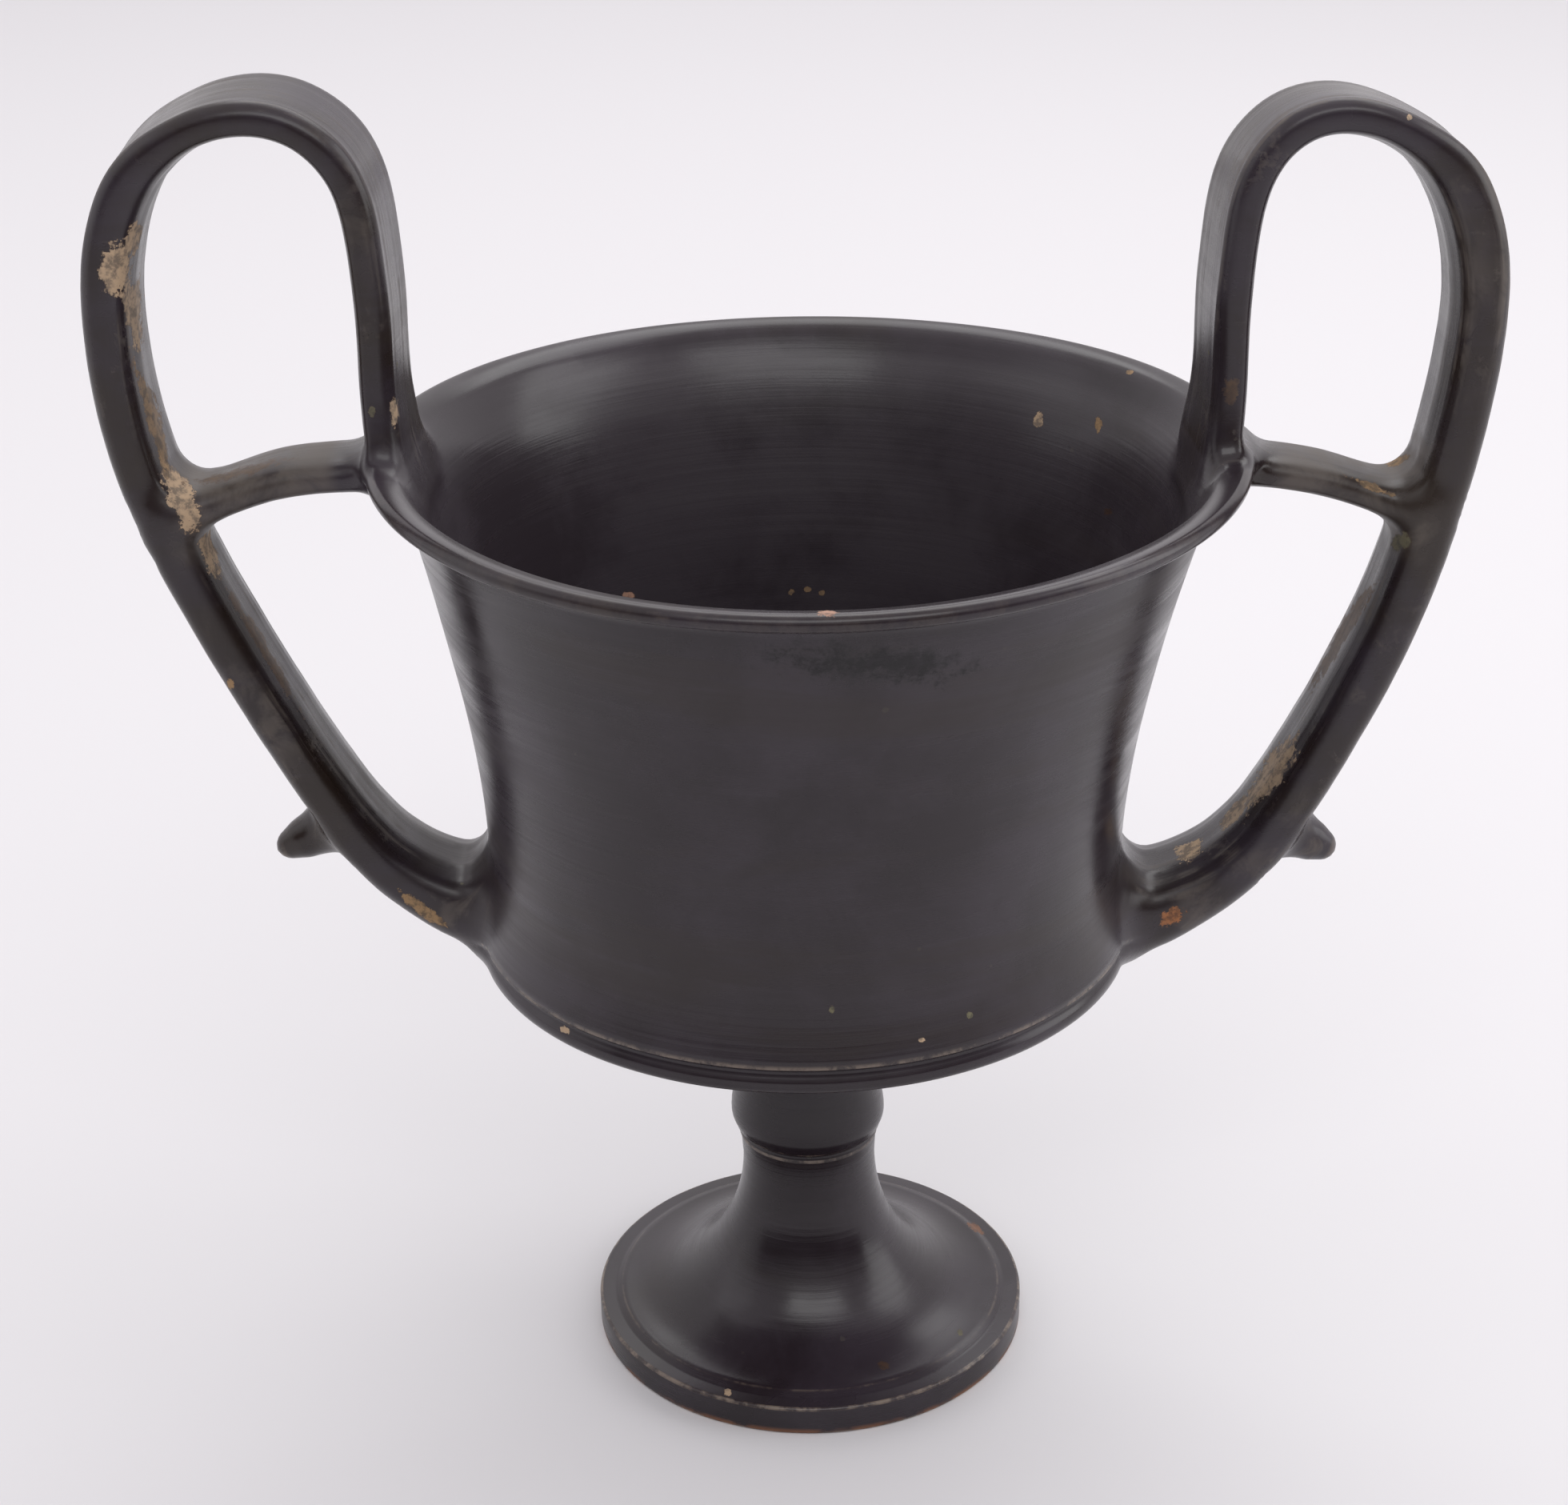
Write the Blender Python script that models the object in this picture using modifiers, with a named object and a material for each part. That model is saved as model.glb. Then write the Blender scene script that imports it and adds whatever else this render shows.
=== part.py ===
"""Two-handled drinking cup (kantharos) in black slipped clay.

One fired piece: a deep cup on a short stem and a trumpet foot, with two high
strap handles. Each handle stands on the lip, loops over, and comes back into
the wall at the keel. A short strut ties it to the lip and a small spur stands
on its lower outer face. The cup is hollow, and so is the foot below.

Metres, +Z up. The origin is on the cup's axis at the level that it stands on,
and the handles lie along X.
"""

import math

import bmesh
import bpy
from mathutils import Vector

# Cup
RIM_HEIGHT = 0.1908
RIM_RADIUS = 0.0817
LIP_THICKNESS = 0.0032
LIP_DEPTH = 0.0048
LIP_OVERHANG = 0.0061
WALL_THICKNESS = 0.0042
WAIST_RADIUS = 0.0613
WAIST_OVER_KEEL = 0.0138
WALL_FLARE_POWER = 1.75
KEEL_RADIUS = 0.0637
KEEL_HEIGHT = 0.0952
KEEL_GROOVE_DEPTH = 0.0009
KEEL_GROOVE_WIDTH = 0.0020
KEEL_ROLL_HEIGHT = 0.0030
KEEL_FLARE_POWER = 1.6

# Bowl floor and stem
BOWL_FOOT_HEIGHT = 0.0665
BOWL_BULGE = 0.0012
BOWL_EDGE_STEP = 0.0014
FLOOR_THICKNESS = 0.0055
BULB_RADIUS = 0.0155
BULB_HEIGHT = 0.0498
BULB_COLLAR_RADIUS = 0.0140
BULB_COLLAR_DROP = 0.0048
STEM_RADIUS = 0.0134
STEM_NECK_HEIGHT = 0.0385

# Foot
FOOT_RADIUS = 0.0439
FOOT_EDGE_HEIGHT = 0.0061
FOOT_BAND_WIDTH = 0.0047
FOOT_BAND_DROP = 0.0010
FOOT_EDGE_ROUNDING = 0.0007
FOOT_RING_WIDTH = 0.0060
FOOT_RING_HEIGHT = 0.0034
FOOT_HOLLOW_HEIGHT = 0.0200
FOOT_HOLLOW_POWER = 1.2

# Handles
STRAP_WIDTH = 0.0216
STRAP_THICKNESS = 0.0075
LEFT_SHOULDER_THICKNESS = 0.0095
RIGHT_SHOULDER_THICKNESS = 0.0102
LEFT_BACK_THICKNESS = 0.0093
RIGHT_BACK_THICKNESS = 0.0101
STRAP_ROOT_THICKNESS = 0.0195
STRAP_ROOT_WIDTH = 0.0270
STRAP_DISH = 0.0005
LEG_INSET = 0.0050
LEFT_RISE = 0.0671
RIGHT_RISE = 0.0643
LEFT_REACH = 0.1287
RIGHT_REACH = 0.1258
LEFT_ROOT_OVER_KEEL = 0.0036
RIGHT_ROOT_OVER_KEEL = 0.0010
LEFT_BELLY = -0.0005
RIGHT_BELLY = 0.0017
LEFT_HIP = 0.0
RIGHT_HIP = -0.0006
LEFT_CROWN = 0.0
RIGHT_CROWN = 0.0012

# Struts and spurs
LEFT_STRUT_WIDTH = 0.0176
RIGHT_STRUT_WIDTH = 0.0160
LEFT_STRUT_THICKNESS = 0.0072
RIGHT_STRUT_THICKNESS = 0.0067
LEFT_STRUT_BELOW_LIP = 0.0002
RIGHT_STRUT_BELOW_LIP = 0.0008
STRUT_FLARE = 0.0034
STRUT_BACK_DROP = 0.0068
LEFT_STRUT_ARCH = 0.0013
RIGHT_STRUT_ARCH = 0.0006
LEFT_SPUR_LENGTH = 0.0155
RIGHT_SPUR_LENGTH = 0.0136
SPUR_BASE_RADIUS = 0.0049
SPUR_TIP_RADIUS = 0.0011
SPUR_SLOPE_DEG = 27.0
SPUR_HEIGHT_OVER_ROOT = 0.0172

# Fineness of the faceted solid
TURNED_STEPS = 54
STRAP_STEPS = 3
STRUT_STEPS = 2
STRAP_SIDES = 12
ROUND_SIDES = 10


class Side:
    """What is its own on each handle: its side of the cup and its hand-made sizes."""

    def __init__(self, name, sign):
        self.name = name
        self.sign = sign

    def set_strap(self, rise, reach, root_over_keel, shoulder_thickness, back_thickness, belly, hip, crown):
        """How high and far the strap goes, and where it swings out or in."""
        self.rise = rise
        self.reach = reach
        self.root_height = KEEL_HEIGHT + root_over_keel
        self.back_thickness = back_thickness
        self.shoulder_thickness = shoulder_thickness
        self.belly = belly
        self.hip = hip
        self.crown = crown

    def set_strut(self, width, thickness, below_lip, arch):
        """The strut's section, its place under the lip's top and its upward bend."""
        self.strut_width = width
        self.strut_thickness = thickness
        self.strut_below_lip = below_lip
        self.strut_arch = arch


LEFT = Side("left", -1.0)
LEFT.set_strap(LEFT_RISE, LEFT_REACH, LEFT_ROOT_OVER_KEEL, LEFT_SHOULDER_THICKNESS, LEFT_BACK_THICKNESS,
               LEFT_BELLY, LEFT_HIP, LEFT_CROWN)
LEFT.set_strut(LEFT_STRUT_WIDTH, LEFT_STRUT_THICKNESS, LEFT_STRUT_BELOW_LIP, LEFT_STRUT_ARCH)
LEFT.spur_length = LEFT_SPUR_LENGTH

RIGHT = Side("right", 1.0)
RIGHT.set_strap(RIGHT_RISE, RIGHT_REACH, RIGHT_ROOT_OVER_KEEL, RIGHT_SHOULDER_THICKNESS, RIGHT_BACK_THICKNESS,
                RIGHT_BELLY, RIGHT_HIP, RIGHT_CROWN)
RIGHT.set_strut(RIGHT_STRUT_WIDTH, RIGHT_STRUT_THICKNESS, RIGHT_STRUT_BELOW_LIP, RIGHT_STRUT_ARCH)
RIGHT.spur_length = RIGHT_SPUR_LENGTH

SIDES = [LEFT, RIGHT]


def wall_radius(height):
    """Outer radius of the cup's wall between the keel and the lip."""
    waist = KEEL_HEIGHT + WAIST_OVER_KEEL
    if height < waist:
        share = (waist - height) / WAIST_OVER_KEEL
        return WAIST_RADIUS + (KEEL_RADIUS - WAIST_RADIUS) * share ** KEEL_FLARE_POWER
    share = (height - waist) / (RIM_HEIGHT - LIP_DEPTH - waist)
    under_lip = RIM_RADIUS - LIP_OVERHANG
    return WAIST_RADIUS + (under_lip - WAIST_RADIUS) * share ** WALL_FLARE_POWER


def spread(first, last, count):
    """Evenly spaced values from first to last, both included."""
    return [first + (last - first) * i / (count - 1) for i in range(count)]


def cup_inside():
    """Profile of the inside, from the middle of the floor up to the lip."""
    corner_height = KEEL_HEIGHT + WALL_THICKNESS
    corner_radius = wall_radius(corner_height) - WALL_THICKNESS
    centre_height = BOWL_FOOT_HEIGHT + FLOOR_THICKNESS
    floor = []
    for share in spread(0.0, 0.94, 5):
        rise = 1.0 - math.sqrt(1.0 - share ** 2)
        floor.append((corner_radius * share, centre_height + (corner_height - centre_height) * rise))
    wall = []
    for height in spread(corner_height, RIM_HEIGHT - LIP_DEPTH, 8):
        wall.append((wall_radius(height) - WALL_THICKNESS, height))
    return floor + wall


def lip():
    """Rounded lip, turned outward over the wall."""
    rounding = LIP_THICKNESS / 2.0
    middle = RIM_HEIGHT - rounding
    outer = RIM_RADIUS - rounding
    inner_edge = (RIM_RADIUS - LIP_THICKNESS - LIP_OVERHANG / 3.0, RIM_HEIGHT - rounding / 2.0)
    points = [inner_edge]
    for angle in spread(math.pi / 2.0, -math.pi / 2.0, 5):
        points.append((outer + rounding * math.cos(angle), middle + rounding * math.sin(angle)))
    return points


def cup_outside():
    """Outer wall from below the lip down to the keel's arris."""
    waist = KEEL_HEIGHT + WAIST_OVER_KEEL
    heights = spread(RIM_HEIGHT - LIP_DEPTH, waist, 8) + spread(waist, KEEL_HEIGHT, 4)[1:]
    return [(wall_radius(height), height) for height in heights]


def keel():
    """Fine groove below the arris and the low rounded moulding under it."""
    groove = KEEL_HEIGHT - KEEL_GROOVE_WIDTH / 2.0
    roll_top = KEEL_HEIGHT - KEEL_GROOVE_WIDTH
    roll_low = roll_top - KEEL_ROLL_HEIGHT
    return [(KEEL_RADIUS - KEEL_GROOVE_DEPTH, groove),
            (KEEL_RADIUS - KEEL_GROOVE_DEPTH / 3.0, roll_top),
            (KEEL_RADIUS, (roll_top + roll_low) / 2.0),
            (KEEL_RADIUS - KEEL_GROOVE_DEPTH, roll_low)]


def bowl_underside():
    """Shallow convex underside of the bowl, from the keel in to the stem."""
    start = KEEL_RADIUS - KEEL_GROOVE_DEPTH - BOWL_EDGE_STEP
    high = KEEL_HEIGHT - KEEL_GROOVE_WIDTH - KEEL_ROLL_HEIGHT - KEEL_GROOVE_DEPTH
    points = []
    for share in spread(0.0, 1.0, 5):
        radius = start + (BULB_RADIUS + BOWL_BULGE - start) * share
        height = high + (BOWL_FOOT_HEIGHT - high) * share - BOWL_BULGE * math.sin(math.pi * share)
        points.append((radius, height))
    return points


def stem():
    """Swelling under the bowl, the ledge below it and the slim neck."""
    collar = BULB_HEIGHT - BULB_COLLAR_DROP
    top_neck = (BOWL_FOOT_HEIGHT + BULB_HEIGHT) / 2.0
    return [(BULB_COLLAR_RADIUS, BOWL_FOOT_HEIGHT - 2.0 * BOWL_BULGE),
            (BULB_COLLAR_RADIUS, top_neck),
            (BULB_RADIUS, BULB_HEIGHT),
            ((BULB_RADIUS + BULB_COLLAR_RADIUS) / 2.0, collar + BULB_COLLAR_DROP / 3.0),
            (BULB_COLLAR_RADIUS, collar)]


def trumpet(share):
    """Foot's upper surface: 0 at the neck, 1 where the low band starts."""
    outer = FOOT_RADIUS - FOOT_BAND_WIDTH
    low = FOOT_EDGE_HEIGHT + FOOT_BAND_DROP
    angle = share * math.pi / 2.0
    return (STEM_RADIUS + (outer - STEM_RADIUS) * (1.0 - math.cos(angle)),
            STEM_NECK_HEIGHT + (low - STEM_NECK_HEIGHT) * math.sin(angle))


def foot():
    """Trumpet foot with a low band at its edge, down to the ground."""
    points = [trumpet(share) for share in spread(0.0, 1.0, 8)]
    band = FOOT_EDGE_HEIGHT
    inner_band = FOOT_RADIUS - FOOT_BAND_WIDTH + FOOT_BAND_DROP
    points.append((inner_band, band))
    points.append((FOOT_RADIUS - FOOT_EDGE_ROUNDING, band))
    points.append((FOOT_RADIUS, band - FOOT_EDGE_ROUNDING))
    points.append((FOOT_RADIUS, band / 2.5))
    points.append((FOOT_RADIUS - FOOT_EDGE_ROUNDING, 0.0))
    return points


def foot_hollow():
    """Flat standing ring and the hollow inside it, up to the axis."""
    ring_inner = FOOT_RADIUS - FOOT_RING_WIDTH
    rise = FOOT_HOLLOW_HEIGHT - FOOT_RING_HEIGHT
    points = [(ring_inner, 0.0)]
    for share in spread(0.05, 1.0, 5):
        radius = ring_inner * (1.0 - share)
        height = FOOT_RING_HEIGHT + rise * share ** FOOT_HOLLOW_POWER
        points.append((radius, height))
    return points


def polyline_mesh(name, points):
    """Open chain of edges in the XZ plane."""
    mesh = bpy.data.meshes.new(name)
    shape = bmesh.new()
    chain = [shape.verts.new((radius, 0.0, height)) for radius, height in points]
    for first, second in zip(chain, chain[1:]):
        shape.edges.new((first, second))
    shape.to_mesh(mesh)
    shape.free()
    return mesh


def turned_cup(name):
    """Cup, stem and foot as one turned shape, from inner floor to foot hollow."""
    outline = cup_inside() + lip() + cup_outside() + keel()
    outline += bowl_underside() + stem() + foot() + foot_hollow()
    cup = bpy.data.objects.new(name, polyline_mesh(name, outline))
    turn = cup.modifiers.new("turned", "SCREW")
    turn.steps = TURNED_STEPS
    turn.render_steps = TURNED_STEPS
    turn.use_merge_vertices = True
    turn.merge_threshold = 0.00001
    return cup


def smooth_path(knots, steps):
    """Catmull-Rom curve through knots, which are equally long tuples."""
    ends = [tuple(2.0 * a - b for a, b in zip(knots[0], knots[1]))]
    ends.append(tuple(2.0 * a - b for a, b in zip(knots[-1], knots[-2])))
    run = [ends[0]] + list(knots) + [ends[1]]
    path = []
    for before, start, stop, after in zip(run, run[1:], run[2:], run[3:]):
        for step in range(steps):
            t = step / steps
            path.append(tuple(
                0.5 * (2.0 * s + (e - b) * t + (2.0 * b - 5.0 * s + 4.0 * e - a) * t ** 2
                       + (3.0 * s - b - 3.0 * e + a) * t ** 3)
                for b, s, e, a in zip(before, start, stop, after)))
    path.append(tuple(knots[-1]))
    return path


def section(sides, power, dish):
    """Closed section as (across, through) pairs from -1 to 1, dished on its outer face."""
    ring = []
    for index in range(sides):
        angle = 2.0 * math.pi * (index + 0.5) / sides
        across = math.copysign(abs(math.cos(angle)) ** (2.0 / power), math.cos(angle))
        through = math.copysign(abs(math.sin(angle)) ** (2.0 / power), math.sin(angle))
        if through > 0.0:
            through -= dish * math.cos(across * math.pi / 2.0)
        ring.append((across, through))
    return ring


def lofted_bar(name, stations, ring):
    """Closed bar along stations of (x, z, thickness, width), all in the XZ plane."""
    shape = bmesh.new()
    loops = []
    for index, (x, z, thickness, width) in enumerate(stations):
        before = stations[max(index - 1, 0)]
        after = stations[min(index + 1, len(stations) - 1)]
        along = Vector((after[0] - before[0], after[1] - before[1])).normalized()
        out = Vector((-along.y, along.x))
        loop = []
        for across, through in ring:
            offset = out * (through * thickness / 2.0)
            loop.append(shape.verts.new((x + offset.x, across * width / 2.0, z + offset.y)))
        loops.append(loop)
    for first, second in zip(loops, loops[1:]):
        for index in range(len(ring)):
            following = (index + 1) % len(ring)
            shape.faces.new((first[index], first[following], second[following], second[index]))
    shape.faces.new(loops[0][::-1])
    shape.faces.new(loops[-1])
    bmesh.ops.recalc_face_normals(shape, faces=shape.faces)
    mesh = bpy.data.meshes.new(name)
    shape.to_mesh(mesh)
    shape.free()
    return bpy.data.objects.new(name, mesh)


def leg_x():
    """Middle of the strap where it stands on the lip."""
    return RIM_RADIUS - LEG_INSET


def strap_knots(side):
    """Strap from inside the lip, over the top and down to its root in the wall."""
    leg = leg_x()
    thick = side.back_thickness
    back = side.reach - thick / 2.0
    lift = side.rise - STRAP_THICKNESS / 2.0
    widest = RIM_HEIGHT + 0.464 * lift
    root_x = wall_radius(side.root_height)

    def upper(out, up, thickness, width=STRAP_WIDTH, raised=0.0):
        """Station above the lip, as shares of the loop's span and rise."""
        return (leg + (back - leg) * out, RIM_HEIGHT + lift * up + raised, thickness, width)

    def lower(out, up, thickness, width=STRAP_WIDTH, shifted=0.0):
        """Station below the widest place, as shares of its reach and height over the root."""
        return (root_x + (back - root_x) * out + shifted,
                side.root_height + (widest - side.root_height) * up, thickness, width)

    swell = STRAP_ROOT_THICKNESS - thick
    spreading = STRAP_ROOT_WIDTH - STRAP_WIDTH
    lip_wall = RIM_HEIGHT - 2.0 * LIP_DEPTH
    return [
        (wall_radius(lip_wall) - WALL_THICKNESS / 2.0, lip_wall, STRAP_THICKNESS / 2.0, STRAP_WIDTH),
        upper(-0.032, -0.062, STRAP_THICKNESS, STRAP_ROOT_WIDTH),
        upper(0.0, 0.17, STRAP_THICKNESS),
        upper(0.0, 0.48, STRAP_THICKNESS),
        upper(0.046, 0.79, STRAP_THICKNESS, raised=0.5 * side.crown),
        upper(0.188, 0.943, STRAP_THICKNESS, raised=side.crown),
        upper(0.40, 1.0, STRAP_THICKNESS, raised=0.6 * side.crown),
        upper(0.656, 0.955, STRAP_THICKNESS),
        upper(0.888, 0.795, side.shoulder_thickness),
        upper(1.0, 0.464, thick),
        lower(0.953, 0.742, thick, shifted=side.hip),
        lower(0.738, 0.451, thick, shifted=side.belly),
        lower(0.391, 0.126, thick + 0.04 * swell, STRAP_WIDTH + 0.1 * spreading, side.belly),
        lower(0.12, 0.012, thick + 0.34 * swell, STRAP_WIDTH + 0.4 * spreading),
        (root_x - 0.6 * WALL_THICKNESS, side.root_height, STRAP_ROOT_THICKNESS, STRAP_ROOT_WIDTH),
    ]


def point_on(path, height):
    """Station on the strap's back leg at a height, below its widest place."""
    found = path[-1]
    for first, second in zip(path, path[1:]):
        if second[1] < height <= first[1]:
            share = (first[1] - height) / (first[1] - second[1])
            found = tuple(a + (b - a) * share for a, b in zip(first, second))
    return found


def strut_knots(side, strap):
    """Flat bar from the lip to the strap's back leg, spreading at both ends."""
    rim_z = RIM_HEIGHT - side.strut_below_lip - side.strut_thickness / 2.0
    back_z = rim_z - STRUT_BACK_DROP
    back_x = point_on(strap, back_z)[0]
    lip_x = RIM_RADIUS - LIP_THICKNESS
    face_x = back_x - side.back_thickness / 2.0
    run = face_x - lip_x
    wide = side.strut_width + STRUT_FLARE
    thick = side.strut_thickness + STRUT_FLARE
    arch = side.strut_arch
    slope = back_z - rim_z
    return [
        (lip_x - LIP_THICKNESS, rim_z, side.strut_thickness, wide),
        (lip_x + 0.15 * run, rim_z + 0.05 * slope + 0.4 * arch, side.strut_thickness, side.strut_width),
        (lip_x + 0.50 * run, rim_z + 0.35 * slope + arch, side.strut_thickness, side.strut_width),
        (lip_x + 0.82 * run, rim_z + 0.80 * slope + 0.5 * arch, side.strut_thickness, side.strut_width),
        (lip_x + 1.0 * run, back_z, thick, wide),
        (back_x, back_z, thick, wide),
    ]


def spur_knots(side, strap):
    """Small tapered horn on the strap's lower outer face."""
    place = point_on(strap, side.root_height + SPUR_HEIGHT_OVER_ROOT)
    slope = math.radians(SPUR_SLOPE_DEG)
    knots = []
    for share, radius in ((0.0, 1.15), (0.35, 1.0), (0.65, 0.82), (0.85, 0.58), (0.96, 0.37)):
        reach = place[2] / 4.0 + share * side.spur_length
        wide = 2.0 * SPUR_BASE_RADIUS * radius
        knots.append((place[0] + reach * math.cos(slope), place[1] - reach * math.sin(slope), wide, wide))
    tip = place[2] / 4.0 + side.spur_length
    knots.append((place[0] + tip * math.cos(slope), place[1] - tip * math.sin(slope),
                  SPUR_TIP_RADIUS, SPUR_TIP_RADIUS))
    return knots


def mirrored(stations, sign):
    """The same stations on the cup's other side."""
    return [(sign * x, z, thickness, width) for x, z, thickness, width in stations]


def handle_parts(side):
    """Strap, strut and spur of one handle as overlapping closed solids."""
    strap = smooth_path(strap_knots(side), STRAP_STEPS)
    strut = smooth_path(strut_knots(side, strap), STRUT_STEPS)
    dish = STRAP_DISH / (STRAP_THICKNESS / 2.0)
    strap_ring = section(STRAP_SIDES, 3.4, dish)
    if side.sign > 0.0:
        strap_ring = [(across, -through) for across, through in strap_ring]
    return [
        lofted_bar("strap_" + side.name, mirrored(strap, side.sign), strap_ring),
        lofted_bar("strut_" + side.name, mirrored(strut, side.sign), section(ROUND_SIDES, 2.6, 0.0)),
        lofted_bar("spur_" + side.name, mirrored(spur_knots(side, strap), side.sign),
                   section(ROUND_SIDES, 2.0, 0.0)),
    ]


def clay_material():
    """Black slip over fired clay."""
    material = bpy.data.materials.new("black_slip_clay")
    material.use_nodes = True
    shader = material.node_tree.nodes["Principled BSDF"]
    shader.inputs["Base Color"].default_value = (0.022, 0.020, 0.022, 1.0)
    shader.inputs["Roughness"].default_value = 0.36
    shader.inputs["Metallic"].default_value = 0.0
    return material


def new_collection(name):
    """Collection linked into the scene."""
    collection = bpy.data.collections.new(name)
    bpy.context.scene.collection.children.link(collection)
    return collection


def clear_scene():
    """Empty the scene of every object."""
    for item in list(bpy.data.objects):
        bpy.data.objects.remove(item, do_unlink=True)


def main():
    """Build the cup and join the handles to it."""
    clear_scene()
    parts = new_collection("kantharos")
    joined = new_collection("handle_pieces")
    cup = turned_cup("kantharos")
    parts.objects.link(cup)
    cup.data.materials.append(clay_material())
    for side in SIDES:
        for piece in handle_parts(side):
            joined.objects.link(piece)
            piece.hide_render = True
            piece.display_type = "WIRE"
            union = cup.modifiers.new("join " + piece.name, "BOOLEAN")
            union.operation = "UNION"
            union.solver = "EXACT"
            union.object = piece
    cup.data.shade_smooth()


main()
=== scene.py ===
"""Looks of a two-handled drinking cup (kantharos) in worn black slip.

The cup is one fired piece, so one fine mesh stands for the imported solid. Its bowl, stem and foot are
turned from one profile, its handles, struts and spurs are swept along their paths, and all of them are
joined and softened where wet clay would have been smoothed over. The marks of wear are placed by the
pixels where they show, and each lies on the surface that the camera's ray meets there.
"""

import logging
import math
from dataclasses import dataclass, field
from enum import Enum
from typing import Any, Iterable, Sequence

import bmesh
import bpy
import numpy as np
from mathutils import Matrix, Vector
from mathutils.bvhtree import BVHTree

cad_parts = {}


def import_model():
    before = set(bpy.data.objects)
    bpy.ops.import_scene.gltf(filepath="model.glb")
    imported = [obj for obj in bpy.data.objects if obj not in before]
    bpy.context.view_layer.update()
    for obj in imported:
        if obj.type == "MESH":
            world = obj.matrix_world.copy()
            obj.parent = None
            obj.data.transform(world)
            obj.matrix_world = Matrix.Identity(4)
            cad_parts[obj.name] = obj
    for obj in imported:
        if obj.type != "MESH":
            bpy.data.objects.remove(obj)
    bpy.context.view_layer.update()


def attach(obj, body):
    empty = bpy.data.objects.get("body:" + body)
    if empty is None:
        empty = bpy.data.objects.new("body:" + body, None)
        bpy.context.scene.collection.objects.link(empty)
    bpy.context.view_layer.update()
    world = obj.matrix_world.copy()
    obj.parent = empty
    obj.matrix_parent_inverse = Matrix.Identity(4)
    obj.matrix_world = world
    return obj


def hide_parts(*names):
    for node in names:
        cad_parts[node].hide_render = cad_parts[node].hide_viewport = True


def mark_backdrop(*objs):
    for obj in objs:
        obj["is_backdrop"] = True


LOG = logging.getLogger("kantharos")

NODE = "kantharos"
BODY = "root"
IMAGE_WIDTH = 1960
IMAGE_HEIGHT = 1881

Pair = tuple[float, float]
Colour = tuple[float, float, float]
Triple = tuple[float, float, float]


class Hand(Enum):
    """The two handles, by the side of the cup that each is on."""

    LEFT = -1
    RIGHT = 1


class Tone(Enum):
    """What shows where the slip is gone or covered, as a linear colour."""

    BUFF = (0.46, 0.33, 0.215)
    OCHRE = (0.30, 0.19, 0.095)
    ORANGE = (0.33, 0.135, 0.055)
    PINK = (0.42, 0.235, 0.16)
    GREENISH = (0.16, 0.145, 0.085)
    UMBER = (0.055, 0.030, 0.020)
    SOOT = (0.0065, 0.0055, 0.0065)

    @property
    def chipped(self) -> bool:
        """Whether the slip has come off there, which leaves a dark rim."""
        return self not in (Tone.UMBER, Tone.SOOT)

    @property
    def stained(self) -> Colour:
        """The tone where dirt or a rest of slip darkens it."""
        red, green, blue = self.value
        return (red * 0.62, green * 0.66, blue * 0.72)


class Wire:
    """A node's output socket, or any socket that gives a value, used in arithmetic."""

    def __init__(self, board: "Board", socket: bpy.types.NodeSocket) -> None:
        """Keeps the board that the socket's node is on."""
        self.board = board
        self.socket = socket

    def _maths(self, operation: str, *values: Any) -> "Wire":
        """One Math node on these values."""
        return self.board.add("ShaderNodeMath", {"operation": operation}, dict(enumerate(values)))

    def __add__(self, other: Any) -> "Wire":
        """self + other."""
        return self._maths("ADD", self, other)

    def __radd__(self, other: Any) -> "Wire":
        """other + self."""
        return self._maths("ADD", other, self)

    def __sub__(self, other: Any) -> "Wire":
        """self - other."""
        return self._maths("SUBTRACT", self, other)

    def __rsub__(self, other: Any) -> "Wire":
        """other - self."""
        return self._maths("SUBTRACT", other, self)

    def __mul__(self, other: Any) -> "Wire":
        """self * other."""
        return self._maths("MULTIPLY", self, other)

    def __rmul__(self, other: Any) -> "Wire":
        """other * self."""
        return self._maths("MULTIPLY", other, self)

    def __truediv__(self, other: Any) -> "Wire":
        """self / other."""
        return self._maths("DIVIDE", self, other)

    def __abs__(self) -> "Wire":
        """abs(self)."""
        return self._maths("ABSOLUTE", self)

    def most(self, other: Any) -> "Wire":
        """The larger of the two."""
        return self._maths("MAXIMUM", self, other)

    def least(self, other: Any) -> "Wire":
        """The smaller of the two."""
        return self._maths("MINIMUM", self, other)

    def step(self, start: float, stop: float) -> "Wire":
        """Smooth step from 0 at start to 1 at stop, either of which may be the larger."""
        return self.board.add("ShaderNodeMapRange", {"interpolation_type": "SMOOTHSTEP"},
                              {"Value": self, 1: start, 2: stop, 3: 0.0, 4: 1.0})


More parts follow.
